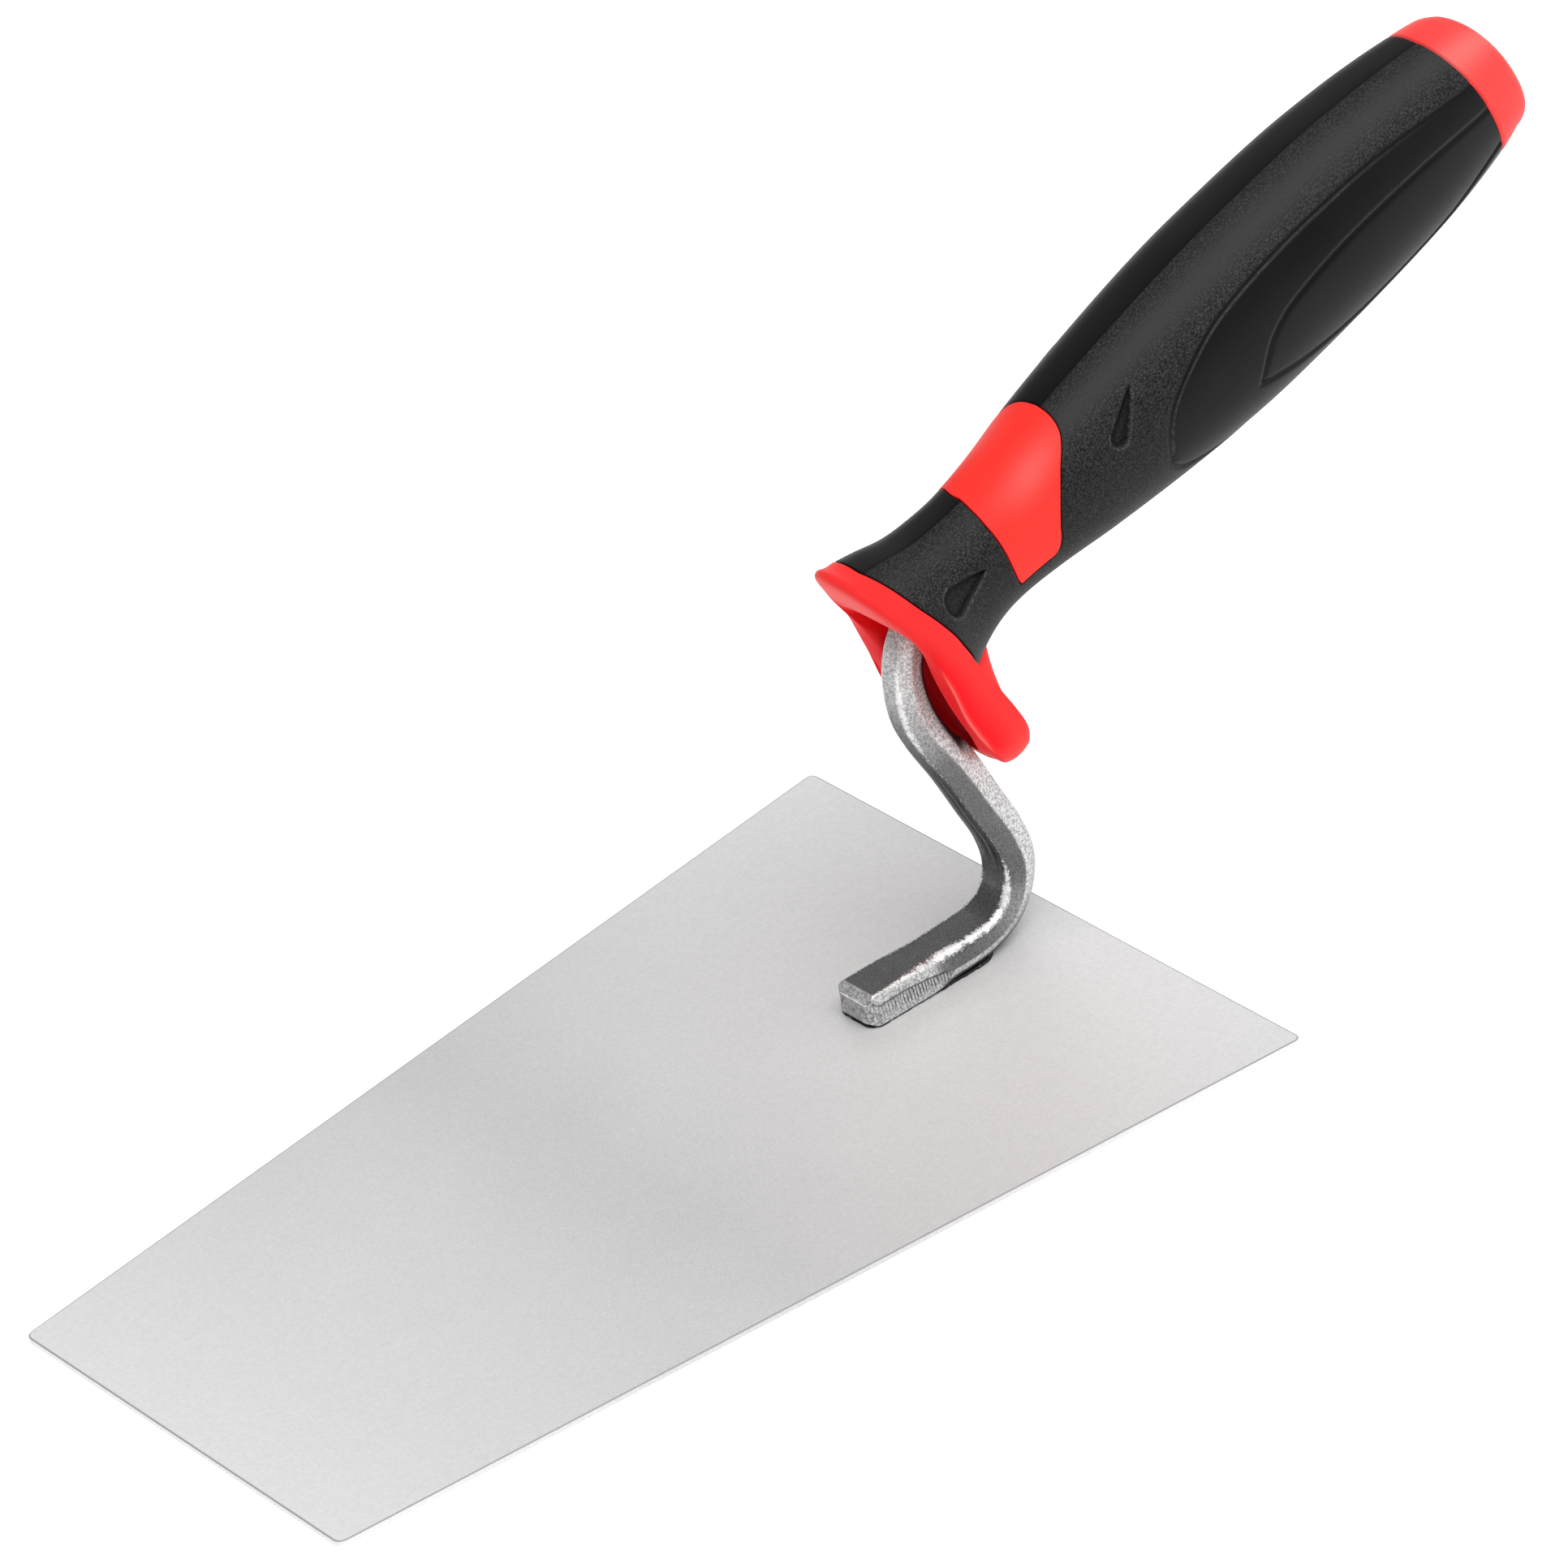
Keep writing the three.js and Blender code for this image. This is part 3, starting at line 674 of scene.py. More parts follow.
def black_rubber():
    n = Nodes("black_rubber")
    grain = n.value("grain")
    coarse = n.noise(3300, 2.0, 0.7)
    speck = n.spread(coarse, 0.42, 0.72)
    cloud = n.spread(n.noise(70, 3.0), 0.3, 0.7)
    smooth_tone = n.blend(cloud, grey(0.004), grey(0.006))
    # lit is the colour of the painted highlight band, where light falls along the upper side of the grip.
    lit = n.blend(speck, grey(0.037), grey(0.05))
    speckled = n.blend(n.spread(coarse, 0.42, 0.68), grey(0.006), grey(0.066))
    colour = n.blend(grain, smooth_tone, n.blend(n.value("painted_highlight"), speckled, lit))
    # Painted shade: near-black in the grooves, the drops, the parting line and the seam gaps.
    colour = n.blend(n.value("groove_shade"), colour, grey(0.0012))
    # Painted highlight: a broken pale line along the rims of the grooves and drops that face the light.
    painted_rim_highlight = n.maths("MULTIPLY", n.value("rim"), n.spread(coarse, 0.4, 0.62, 0.25, 1.0))
    height = n.maths("ADD", speck, n.maths("MULTIPLY", n.noise(5200, 1.0), 0.5))
    return n.finish(
        Base_Color=n.blend(painted_rim_highlight, colour, grey(0.1)),
        Roughness=n.scaled(grain, 0.1, 0.42),
        Specular_IOR_Level=0.11,
        Normal=n.bump(height, n.scaled(grain, 0.5, 0.05), 0.00012),
    )


def red_plastic(name, base):
    n = Nodes(name)
    cloud = n.spread(n.noise(90, 3.0), 0.3, 0.7)
    fine = n.noise(3000, 2.0)
    colour = n.blend(cloud, base, tuple(0.94 * c for c in base[:3]) + (1.0,))
    # Painted highlight: RED_LIT where light falls on the part.
    colour = n.blend(n.value("painted_highlight"), colour, RED_LIT)
    # Painted shade: more saturated red, then dark red, as the shade value rises.
    colour = n.blend(n.spread(n.value("painted_shade"), 0.0, 0.35), colour, RED_VIVID)
    colour = n.blend(n.spread(n.value("painted_shade"), 0.35, 1.0), colour, RED_DEEP)
    return n.finish(
        # Painted highlight along the guard's crease.
        Base_Color=n.blend(n.value("edge"), colour, RED_EDGE),
        Roughness=n.spread(fine, 0.3, 0.7, 0.38, 0.5),
        Specular_IOR_Level=0.06,
        Normal=n.bump(fine, 0.12, 0.0001),
    )


def blade_steel():
    """Rolled steel, paler towards both ends of the blade as painted light."""
    n = Nodes("blade_steel_fine")
    lengthwise = n.noise(900, 3.0, 0.6, n.stretch((0.25, 1.0, 1.0)))
    fine = n.noise(4200, 2.0, 0.6)
    cloud = n.spread(n.noise(16, 3.0, 0.55), 0.3, 0.7)
    # Painted light: the base colour brightens towards the toe and towards the heel.
    toe = n.spread(n.along("X"), 0.065, 0.144)
    heel = n.spread(n.along("X"), 0.06, -0.026)
    mottle = n.spread(n.noise(1500, 3.0, 0.7), 0.35, 0.65, 0.0, 0.12)
    tone = n.blend(cloud, grey(0.55), grey(0.62))
    tone = n.blend(toe, tone, grey(0.81))
    tone = n.blend(heel, tone, grey(0.84))
    tone = n.blend(n.spread(fine, 0.3, 0.7, 0.0, 0.35), tone, grey(0.92))
    tone = n.blend(mottle, tone, grey(0.36))
    return n.finish(
        Base_Color=n.blend(n.value("edge"), tone, grey(0.3)),
        Metallic=0.35,
        Specular_IOR_Level=0.2,
        Roughness=n.spread(lengthwise, 0.3, 0.7, 0.5, 0.6),
        Normal=n.bump(fine, 0.06, 0.0001),
    )


def neck_zinc():
    """Blasted zinc: dark on the smooth faces, grainy and pale on the others, with painted highlights on the
    ridges; how dark or pale each face is comes partly from its finish and partly from painted light and
    shade.
    """
    n = Nodes("neck_zinc_blasted")
    pale = n.value("tone")
    fine = n.noise(3600, 3.0, 0.65)
    pits = n.noise(950, 2.0, 0.6)
    patches = n.spread(n.noise(160, 3.0, 0.6), 0.35, 0.65)
    dark = n.blend(patches, grey(0.095), grey(0.13))
    dark = n.blend(n.spread(fine, 0.36, 0.66), n.blend(0.25, dark, grey(0.03)), grey(0.19))
    grains = n.spread(n.noise(2500, 3.0, 0.7), 0.38, 0.62)
    ragged = n.maths("MULTIPLY", n.maths("SUBTRACT", fine, 0.5), 1.7)
    # Painted highlight on the ridges, made ragged by noise.
    ridge = n.spread(n.maths("ADD", n.value("ridge"), ragged), 0.3, 0.75)
    ridge = n.maths("MULTIPLY", ridge, n.spread(pits, 0.25, 0.5, 0.5, 1.2))
    tone = n.blend(pale, dark, n.blend(grains, grey(0.3), grey(0.82)))
    tone = n.blend(ridge, tone, grey(0.98))
    less = n.maths("MULTIPLY", n.maths("MAXIMUM", pale, ridge), 0.5)
    return n.finish(
        # Painted shade in the cuts of the foot, along the edge of its ground sides and in the streaks on the
        # top face.
        Base_Color=n.blend(n.value("groove_shade"), tone, grey(0.012)),
        Metallic=n.maths("SUBTRACT", 0.9, less),
        Specular_Tint=grey(0.4),
        Roughness=n.spread(pits, 0.3, 0.7, 0.27, 0.42),
        Normal=n.bump(n.maths("ADD", fine, pits), n.scaled(pale, 0.2, 0.05), 0.00012),
    )


def weld_and_painted_shadow():
    n = Nodes("weld_dark_and_painted_shadow")
    # Near-black: partly the weld join, partly painted shadow in the gap under the foot.
    spots = n.spread(n.noise(700, 3.0), 0.55, 0.72)
    return n.finish(
        Base_Color=n.blend(spots, grey(0.01), grey(0.16)),
        Metallic=0.4,
        Roughness=0.4,
        Normal=n.bump(n.noise(900, 2.0), 0.5, 0.0002),
    )


def floor_paint():
    n = Nodes("floor_white")
    soft = n.spread(n.noise(3.0, 2.0), 0.3, 0.7)
    return n.finish(
        Base_Color=n.blend(soft, grey(0.93), grey(0.945)),
        Roughness=0.9,
        Specular_IOR_Level=0.1,
        Emission_Color=grey(1.0),
        Emission_Strength=0.45,
    )


# ---- blade ----
def rounded_outline(corners, radius, count=7):
    """Outline of a polygon with rounded corners."""
    p = np.array(corners, float)
    out = []
    for i in range(len(p)):
        to_before = p[i - 1] - p[i]
        to_after = p[(i + 1) % len(p)] - p[i]
        enter = p[i] + to_before * min(radius / np.hypot(*to_before), LONGEST_ROUND)
        leave = p[i] + to_after * min(radius / np.hypot(*to_after), LONGEST_ROUND)
        out += [corner_point(u, enter, p[i], leave) for u in np.linspace(0, 1, count)]
    return np.array(out)


def evenly(outline, step):
    """More points on the long sides of a closed outline."""
    out = []
    for a, b in zip(outline, np.roll(outline, -1, 0)):
        count = max(1, int(np.hypot(*(b - a)) / step))
        out += [a + (b - a) * k / count for k in range(count)]
    return np.array(out)


def outward(outline):
    """Unit normals of a closed outline that runs anticlockwise."""
    run = np.roll(outline, -1, 0) - np.roll(outline, 1, 0)
    n = np.stack([run[:, 1], -run[:, 0]], 1)
    return n / np.hypot(n[:, 0], n[:, 1])[:, None]


def stack_outline(outline, levels):
    """Rings of an outline at levels of (inset, height)."""
    n = outward(outline)
    return np.concatenate(
        [np.column_stack([outline - n * inset, np.full(len(outline), z)]) for inset, z in levels]
    )


def build_blade(material):
    heel = BLADE_HEEL_WIDTH / 2
    toe = BLADE_TOE_WIDTH / 2
    toe_x = HEEL_X + BLADE_LENGTH
    corners = [(HEEL_X, -heel), (toe_x, -toe), (toe_x, toe), (HEEL_X, heel)]
    line = evenly(rounded_outline(corners, BLADE_CORNER), 1.2)
    t = BLADE_THICKNESS
    b = BLADE_BEVEL
    levels = [
        # inset, height, darkness of the edge there
        (0.6, 0, 0),
        (b * 1.5, 0, 0),
        (b, 0, 0.6),
        (0, b, 0.1),
        (0.02, t / 2, 0),
        (0, t - b, 0.1),
        (b, t, 1),
        (b * 1.5, t, 0.75),
        (b * 3, t, 0),
        (0.6, t, 0),
    ]
    points = stack_outline(line, [level[:2] for level in levels])
    count = len(line)
    nicks = np.maximum(ripple(np.arange(count) * 0.9, 3.1) * BLADE_NICKS, 0)
    for k in (3, 4, 5):
        points[k * count:(k + 1) * count, :2] -= outward(line) * nicks[:, None]
    edge = np.repeat([level[2] for level in levels], count)
    faces = closed_stack(len(levels), count)
    return make_piece("blade_sheet", points, faces, material, {"edge": edge}, sharp=20)


# ---- weld layer ----
def build_weld(material):
    half = [
        # X, half width
        (FOOT_REAR_X - 0.4, FOOT_HALF - 2.5),
        (FOOT_REAR_X + 2.6, FOOT_HALF - 0.2),
        (FOOT_TIP_X - 0.15, FOOT_HALF - 0.65),
    ]
    corners = [(x, -y) for x, y in half] + [(x, y) for x, y in reversed(half)]
    line = evenly(rounded_outline(corners, FOOT_TIP_ROUND), 0.35)
    count = len(line)
    base = BLADE_THICKNESS + 0.01
    top = WELD_TOP + 0.06
    levels = [(1.6, base), (-0.06, base), (0.02, base + 0.1), (0.12, base + 0.2), (0.16, top), (1.6, top)]
    points = stack_outline(line, levels)
    for k, height in ((1, 0.1), (2, 0.1), (3, 0.05), (4, 0.05)):
        wave = ripple(np.arange(count) * (0.45 + 0.1 * k), 1.3 * k) * height
        points[k * count:(k + 1) * count, :2] += outward(line) * wave[:, None]
    return make_piece("weld_bead", points, closed_stack(len(levels), count), material, sharp=50)


# ---- neck ----
def bar_ring(half, rise, fall, flat, ridge, low, low_wide, under, shoulder):
    """Section of the bar: eight faces with rounded corners, listed from the lower ridge of the near side."""
    side = [(low_wide * half, low * fall), (half, ridge * rise), (flat * half, rise)]
    other = [(-y, d) for y, d in reversed(side)]
    corners = np.array(side + other + [(-under * half, -fall), (under * half, -fall)])
    radii = [LOWER_RIDGE_RADIUS, SIDE_RIDGE_RADIUS, shoulder, shoulder, SIDE_RIDGE_RADIUS,
             LOWER_RIDGE_RADIUS, BOTTOM_RADIUS, BOTTOM_RADIUS]
    ahead = np.roll(corners, -1, 0) - corners
    length = np.hypot(ahead[:, 0], ahead[:, 1])
    heading = ahead / length[:, None]
    after = np.minimum(radii, LONGEST_ROUND * length)[:, None] * heading
    before = np.minimum(radii, LONGEST_ROUND * np.roll(length, 1))[:, None] * np.roll(heading, 1, 0)
    starts = corners - before
    ends = corners + after
    ring = []
    for i in range(len(corners)):
        onward = starts[(i + 1) % len(corners)]
        for t in np.linspace(0, 1, CORNER_STEPS):
            ring.append(corner_point(t, starts[i], corners[i], ends[i]))
        for t in np.linspace(0, 1, FACE_STEPS + 2)[1:-1]:
            ring.append(ends[i] + (onward - ends[i]) * t)
    return np.array(ring)


def ring_weights():
    """For each point of the section, the share of each face in its tone and its place on each corner."""
    faces = []
    bells = []
    for i in range(8):
        for t in np.linspace(0, 1, CORNER_STEPS):
            share = float(smooth_step(0.3, 0.7, t))
            row = np.zeros(8)
            row[i] = share
            row[i - 1] += 1 - share
            faces.append(row)
            bell = np.zeros(8)
            bell[i] = math.sin(math.pi * t)
            bells.append(bell)
        faces += [np.eye(8)[i]] * FACE_STEPS
        bells += [np.zeros(8)] * FACE_STEPS
    return np.array(faces), np.array(bells)


def bar_line():
    """Points along the middle of the bar, its heading there and the way from the tip."""
    p = np.array(BAR_PATH, float)
    padded = np.vstack([2 * p[0] - p[1], p, 2 * p[-1] - p[-2]])
    dense = []
    for i in range(len(p) - 1):
        a, b, c, d = padded[i:i + 4]
        k0, k1, k2 = (max(np.hypot(*(q - r)) ** 0.5, 1e-4) for q, r in ((b, a), (c, b), (d, c)))
        leaving = ((b - a) / k0 - (c - a) / (k0 + k1) + (c - b) / k1) * k1
        arriving = ((c - b) / k1 - (d - b) / (k1 + k2) + (d - c) / k2) * k1
        dense += [hermite(u, b, c, leaving, arriving) for u in np.arange(40) / 40]
    dense = np.array(dense + [p[-1]])
    way = np.concatenate([[0], np.cumsum(np.hypot(*np.diff(dense, axis=0).T))])
    run = np.concatenate([
        FOOT_TIP_ROUND * (1 - np.sin(np.linspace(math.pi / 2, 0, 14))),
        np.arange(FOOT_TIP_ROUND + FOOT_STEP, FOOT_STEPS_END, FOOT_STEP),
        np.arange(FOOT_STEPS_END, way[-1], SHANK_STEP),
    ])
    slope = np.gradient(dense, axis=0)
    turn = np.arctan2(slope[:, 1], -slope[:, 0])
    x, z, heading = (np.interp(run, way, column) for column in (dense[:, 0], dense[:, 1], turn))
    return x, z, heading, run


def foot_limit(x):
    """Half width of the ground sides of the foot at X."""
    base = FOOT_HALF - FOOT_TAPER * smooth_step(FOOT_REAR_X, FOOT_TIP_X, x)
    into = np.clip(x - (FOOT_TIP_X - FOOT_TIP_ROUND), 0, FOOT_TIP_ROUND)
    return base - FOOT_TIP_ROUND + np.sqrt(np.maximum(FOOT_TIP_ROUND**2 - into**2, 0))


def shape_foot(x, y, z, way):
    """Grinds the sides of the foot, cuts its tip and returns the marks left there, darkened with painted
    shade in the cuts and along the edge of the ground sides.
    """
    limit = float(foot_limit(x))
    beyond = np.abs(y) - limit
    ground = np.clip(beyond / 0.12, 0, 1) * float(smooth_step(17.5, 15, way))
    lean = x - CUT_LEAN * z + 0.04 * ripple(z * 2.1 + x, 1.0) + 0.1 * ripple(x * 1.3, 5.0)
    cuts = np.cos(2 * math.pi * lean / CUT_SPACING) * (0.8 + 0.2 * ripple(lean * 2.3 + z, 2.0))
    fade = np.clip((z - 1.9 - 0.35 * ripple(x * 2.2, 4.0)) / 0.8, 0.3, 1)
    fade = fade * (0.55 + 0.45 * float(smooth_step(3, 8, way)))
    trimmed = np.sign(y) * np.minimum(np.abs(y), limit + 4 * float(smooth_step(15, 18.5, way)))
    y = trimmed - np.sign(y) * ground * fade * CUT_DEPTH * (1 + cuts)
    into = (x - TIP_CHAMFER_START) / (FOOT_TIP_X - TIP_CHAMFER_START)
    top = FOOT_TOP - TIP_CHAMFER_DROP * np.clip(into, 0, 1)
    cut = np.clip((z - top) / 0.08, 0, 1) * (into > 0)
    line = hump(beyond, 0.03, 0.08) * float(smooth_step(16.5, 14, way))
    if into > 0:
        z = np.minimum(z, top)
    z = np.maximum(z, FOOT_BASE + TIP_LIFT * float(smooth_step(FOOT_TIP_X - 1.6, FOOT_TIP_X, x)))
    marks = ground * fade * (0.06 + 0.9 * smooth_step(0.1, 0.75, -cuts))
    return y, z, ground, np.maximum(marks, 0.9 * line * (z > 3.6)), cut


def top_streaks(place, run):
    """Dark streaks on the top face of the shank, painted as the shade of fine grooves, and the paler painted
    highlight bands beside them and towards the far shoulder.
    """
    wander = place + 0.03 * float(ripple(run * 0.35, 4.0))
    dark = sum(strength * hump(wander, middle, width) for middle, width, strength in DARK_STREAKS)
    pale = hump(wander, 0.4, 0.05) + 1.3 * smooth_step(0.68, 0.9, place)
    return dark * (0.7 + 0.3 * ripple(run * 0.9, 1.0)), 0.28 * pale


def build_neck(material):
    faces_share, bells = ring_weights()
    rings = []
    values = {"ridge": [], "groove_shade": [], "tone": []}

    def keep(ring, ridge, groove_shade, tones):
        rings.append(ring)
        for key, column in (("ridge", ridge), ("groove_shade", groove_shade), ("tone", tones)):
            values[key].append(np.clip(column, 0, 1))

    top_face = faces_share[:, 2] * (bells[:, 2] == 0) * (bells[:, 3] == 0)
    place = np.cumsum(top_face) * top_face / (FACE_STEPS + 1)
    chamfer_edge = FOOT_TOP - TIP_CHAMFER_DROP
    for x0, z0, turn, run in zip(*bar_line()):
        ring = bar_ring(*(float(along(BAR_SECTIONS, run, c)) for c in range(1, 10)))
        flank, top, line, under = (float(along(BAR_TONES, run, c)) for c in (1, 2, 3, 4))
        # Each face's brightness: partly its finish, partly painted light and shade.
        tone = faces_share @ np.array([1, flank, top, 0.5 * flank + 0.4, 0.9, 0.6, under, under])
        uneven = 0.8 + 0.2 * float(ripple(run * 1.9, 3.0))
        # Painted highlights on the rounded corners, brightest along the shoulder line.
        ridge = bells @ np.array([0, 0.15, line * uneven, 0.8 * line, 0.1, 0, 0, 0])
        y = ring[:, 0]
        x = x0 + math.sin(turn) * ring[:, 1]
        z = z0 + math.cos(turn) * ring[:, 1]
        groove_shade = np.zeros(len(y))
        if run < FOOT_END:
            y, z, ground, groove_shade, cut = shape_foot(x0, y, z, run)
            tone = np.maximum(tone * (1 - ground), ground)
            tone = tone * (1 - cut) + 0.8 * cut
            ridge = ridge * (1 - ground) * (1 - cut)
            # Painted highlight along the edge of the tip chamfer.
            ridge = ridge + hump(z, chamfer_edge, 0.14) * float(smooth_step(13.2, 13.6, x0))
        # Painted shade and highlights of fine grooves on the top face, between the bends.
        drawn = smooth_step(38, 44, run) * smooth_step(72, 66, run) * top_face
        dark, pale = top_streaks(place, run)
        keep(np.column_stack([x, y, z]), ridge, groove_shade + drawn * dark, tone + drawn * pale)
    plain = bar_ring(1, 1, 1, 0.6, 0.25, -0.3, 1, 0.6, 0.3)
    for s, half in ((TANG_START, TANG_HALF), (TANG_END - TANG_TAPER, TANG_HALF),
                    (TANG_END, TANG_HALF * TANG_POINT)):
        ring = plain * half
        level = np.full(len(ring), 0.9)
        keep(grip_point(np.full(len(ring), s), ring[:, 0], ring[:, 1]), level * 0, level * 0, level)
    middle = rings[0].mean(0)
    lead = [middle + (rings[0] - middle) * k for k in (0.25, 0.5, 0.75, 0.93)]
    points, faces = closed_tube(lead + rings, middle, rings[-1].mean(0))
    on_lead = {"ridge": 0.0, "groove_shade": 0.05, "tone": 0.8}
    made = {
        key: np.concatenate([np.full(len(plain) * len(lead), on_lead[key]), *values[key], [0.2, 0.2]])
        for key in values
    }
    return make_piece("neck_bar", points, faces, material, made)


# ---- grip sleeve ----
def zone(start, end, count):
    """Stations from start to end for every column, closer together at both ends."""
    last = EDGE_STEPS[-1]
    inner = np.linspace(0, 1, count)[:, None]
    middle = (start + last) + (end - start - 2 * last) * inner
    head = start + EDGE_STEPS[:-1, None]
    tail = end - EDGE_STEPS[:-1, None][::-1]
    return np.concatenate([head, middle, tail])


def leaf_distance(line, s, near):
    """Distance of points of the grip to a leaf outline, negative inside it."""
    line = np.array(line, float)
    curve = np.column_stack([line[:, 0], np.radians(line[:, 1]) * grip_radius(line[:, 0])])
    places = np.column_stack([s.ravel(), (np.radians(near) * grip_radius(s)).ravel()])
    return curve_distance(places, closed_curve(curve, 8)).reshape(s.shape)


def sleeve_relief(s, angle):
    """Depth of the moulded details of the sleeve, how grainy each point is, the painted shade in its
    grooves, drops and parting line, the painted highlight on the rims that face the light, and a painted
    highlight band along the top.
    """
    near = folded(angle)
    outer = leaf_distance(OUTER_LEAF, s, near)
    inner = leaf_distance(INNER_LEAF, s, near)
    depth = 0.34 * hump(outer, 0, 0.4) + 0.1 * smooth_step(0.35, -0.35, outer)
    depth += 0.36 * hump(inner, 0, 0.4) + 0.16 * smooth_step(0.5, -0.5, inner)
    # Painted shade in the leaf grooves.
    groove_shade = 0.75 * hump(outer, 0.1, 0.36) + 0.75 * hump(inner, 0, 0.33)
    upper = smooth_step(-30, -5, near)
    # rim paints a highlight along the edges of the leaf grooves that face the light.
    rim = 0.6 * hump(outer, -0.48, 0.13) * upper * smooth_step(96, 60, s)
    rim += 0.3 * hump(inner + 0.5, upper, 0.14)
    # Painted highlight: a broad lighter band along the upper side of the grip, where the light falls.
    painted_highlight = hump(near, 65, 14) * (0.5 + 0.5 * smooth_step(-4, 12, s))
    grain = smooth_step(-0.1, 0.5, outer) * (0.45 + 0.55 * hump(near, 60, 30))
    for s0, a0, wide, s1, a1 in DROPS:
        local = grip_radius(s0)
        side = np.array([s1 - s0, (math.radians(a1) - math.radians(a0)) * local])
        x = s - s0
        z = (np.radians(near) - math.radians(a0)) * local
        u = np.clip((x * side[0] + z * side[1]) / (side @ side), 0, 1)
        distance = np.hypot(x - u * side[0], z - u * side[1]) - wide * (1 - u) ** 0.75 - 0.1 * u
        depth += 0.75 * smooth_step(0.06, -0.42, distance)
        depth -= 0.05 * hump(distance, 0.3, 0.25)
        across = (x * side[1] - z * side[0]) / math.hypot(*side)
        behind = x * side[0] + z * side[1]
        lit = np.maximum(smooth_step(-0.1, 0.5, across), smooth_step(0.3, -0.9, behind))
        # Painted shade inside the drop, and on its edge away from the light.
        groove_shade += 0.8 * smooth_step(0.0, -0.3, distance) * (1 - 0.6 * smooth_step(-0.6, -1.3, distance))
        groove_shade += 0.5 * hump(distance, -0.05, 0.18) * (1 - lit)
        # Painted highlight on the rim of the drop that faces the light.
        rim += 0.75 * hump(distance, 0.08, 0.17) * lit
    top = np.radians(angle - PARTING_ANGLE) * along(GRIP_SECTIONS, s, 2)
    depth += 0.09 * hump(top, 0, 0.2) + 0.06 * smooth_step(-0.25, 0.05, top) * (angle < STRIP_END)
    # Painted shade along the parting line.
    groove_shade += 0.9 * hump(top, 0, 0.17)
    strip = smooth_step(PARTING_ANGLE - 1, PARTING_ANGLE, angle)
    grain *= 1 - strip * smooth_step(STRIP_END + 2, STRIP_END - 4, angle)
    grain *= 1 - 0.6 * smooth_step(-25, -55, near)
    return depth, np.clip(grain, 0, 1), np.clip(groove_shade, 0, 1), np.clip(rim, 0, 1), painted_highlight


def skin_faces(front, window, rows, first, opened):
    """Faces of a skin in three bands of rows; the middle band has an opening in the chosen columns."""
    count = len(opened)
    faces = []
    for k in range(rows - 1):
        if k in (front - 1, front + window - 1):
            continue
        in_window = front <= k < front + window - 1
        a = first + k * count
        for i in range(count):
            if in_window and opened[i]:
                continue
            j = (i + 1) % count
            faces.append((a + i, a + j, a + j + count, a + i + count))
    return faces


def build_sleeve(material):
    columns = SLEEVE_COLUMNS
    count = len(columns)
    start = front_seam(columns) + SEAM_GAP
    a = patch_front(columns)
    b = patch_rear(columns)
    end = rear_seam(columns) - SEAM_GAP
    s = np.concatenate([zone(start, a, ROWS_FRONT), zone(a, b, ROWS_WINDOW), zone(b, end, ROWS_REAR)])
    front_rows = ROWS_FRONT + 2 * (len(EDGE_STEPS) - 1)
    window_rows = ROWS_WINDOW + 2 * (len(EDGE_STEPS) - 1)
    rows = len(s)
    angle = np.broadcast_to(columns, s.shape)
    depth, grain, groove_shade, rim, painted_highlight = sleeve_relief(s, angle)
    from_window = np.maximum(a - s, s - b)
    arc = np.radians(PATCH_LOW - folded(angle)) * PATCH_RADIUS
    to_window = np.where(folded(angle) >= PATCH_LOW, from_window, np.hypot(np.maximum(from_window, 0), arc))
    to_edge = np.minimum(np.minimum(s - start, end - s), np.where(to_window < -1e-6, 9, to_window))
    depth = depth + edge_drop(np.abs(to_edge), SLEEVE_EDGE)
    outer = grip_surface(s, angle, depth)
    in_patch = folded(columns) > PATCH_LOW + 0.01
    opened = in_patch | np.roll(in_patch, -1)

    bands = ((start, a, [0, 0.5, 1]), (a, b, [0, 0.25, 0.5, 0.75, 1]), (b, end, np.linspace(0, 1, 9)))
    inner_s = np.concatenate([p + (q - p) * np.array(shares)[:, None] for p, q, shares in bands])
    inner = grip_surface(inner_s, np.broadcast_to(columns, inner_s.shape), WALL)
    inner_front, inner_window = (len(shares) for p, q, shares in bands[:2])
    base = rows * count
    faces = skin_faces(front_rows, window_rows, rows, 0, opened)
    faces += [(p, r, q, o) for p, o, q, r in
              skin_faces(inner_front, inner_window, len(inner_s), base, opened)]
    everywhere = np.ones(count, bool)
    links = [
        # row of the outer skin, row of the inner skin, columns where they are joined
        (0, 0, everywhere),
        (rows - 1, len(inner_s) - 1, everywhere),
        (front_rows - 1, inner_front - 1, opened),
        (front_rows + window_rows, inner_front + inner_window, opened),
    ]
    for outer_row, inner_row, chosen in links:
        p = outer_row * count
        q = base + inner_row * count
        for i in np.flatnonzero(chosen).tolist():
            j = (i + 1) % count
            faces.append((p + i, p + j, q + j, q + i))
    quarters = [round(k * (window_rows - 1) / (inner_window - 1)) for k in range(inner_window)]
    for i in range(count):
        if opened[i] == opened[i - 1]:
            continue
        for k in range(inner_window - 1):
            loop = [(front_rows + r) * count + i for r in range(quarters[k], quarters[k + 1] + 1)]
            q = base + (inner_front + k) * count + i
            faces.append(tuple(loop + [q + count, q]))
    points = np.concatenate([outer.reshape(-1, 3), inner.reshape(-1, 3)])
    # Painted shade in the gaps along the sleeve's seams.
    groove_shade = np.maximum(groove_shade, 0.8 * (depth > 0.2) * (np.abs(to_edge) < 0.1))
    values = {
        key: np.concatenate([column.ravel(), np.full(inner_s.size, inside)])
        for key, column, inside in (("grain", grain, 0.0), ("rim", rim, 0.0), ("painted_highlight", painted_highlight, 0.0),
                                    ("groove_shade", groove_shade, 1.0))
    }
    return make_piece("grip_skin", points, faces, material, values, sharp=62)


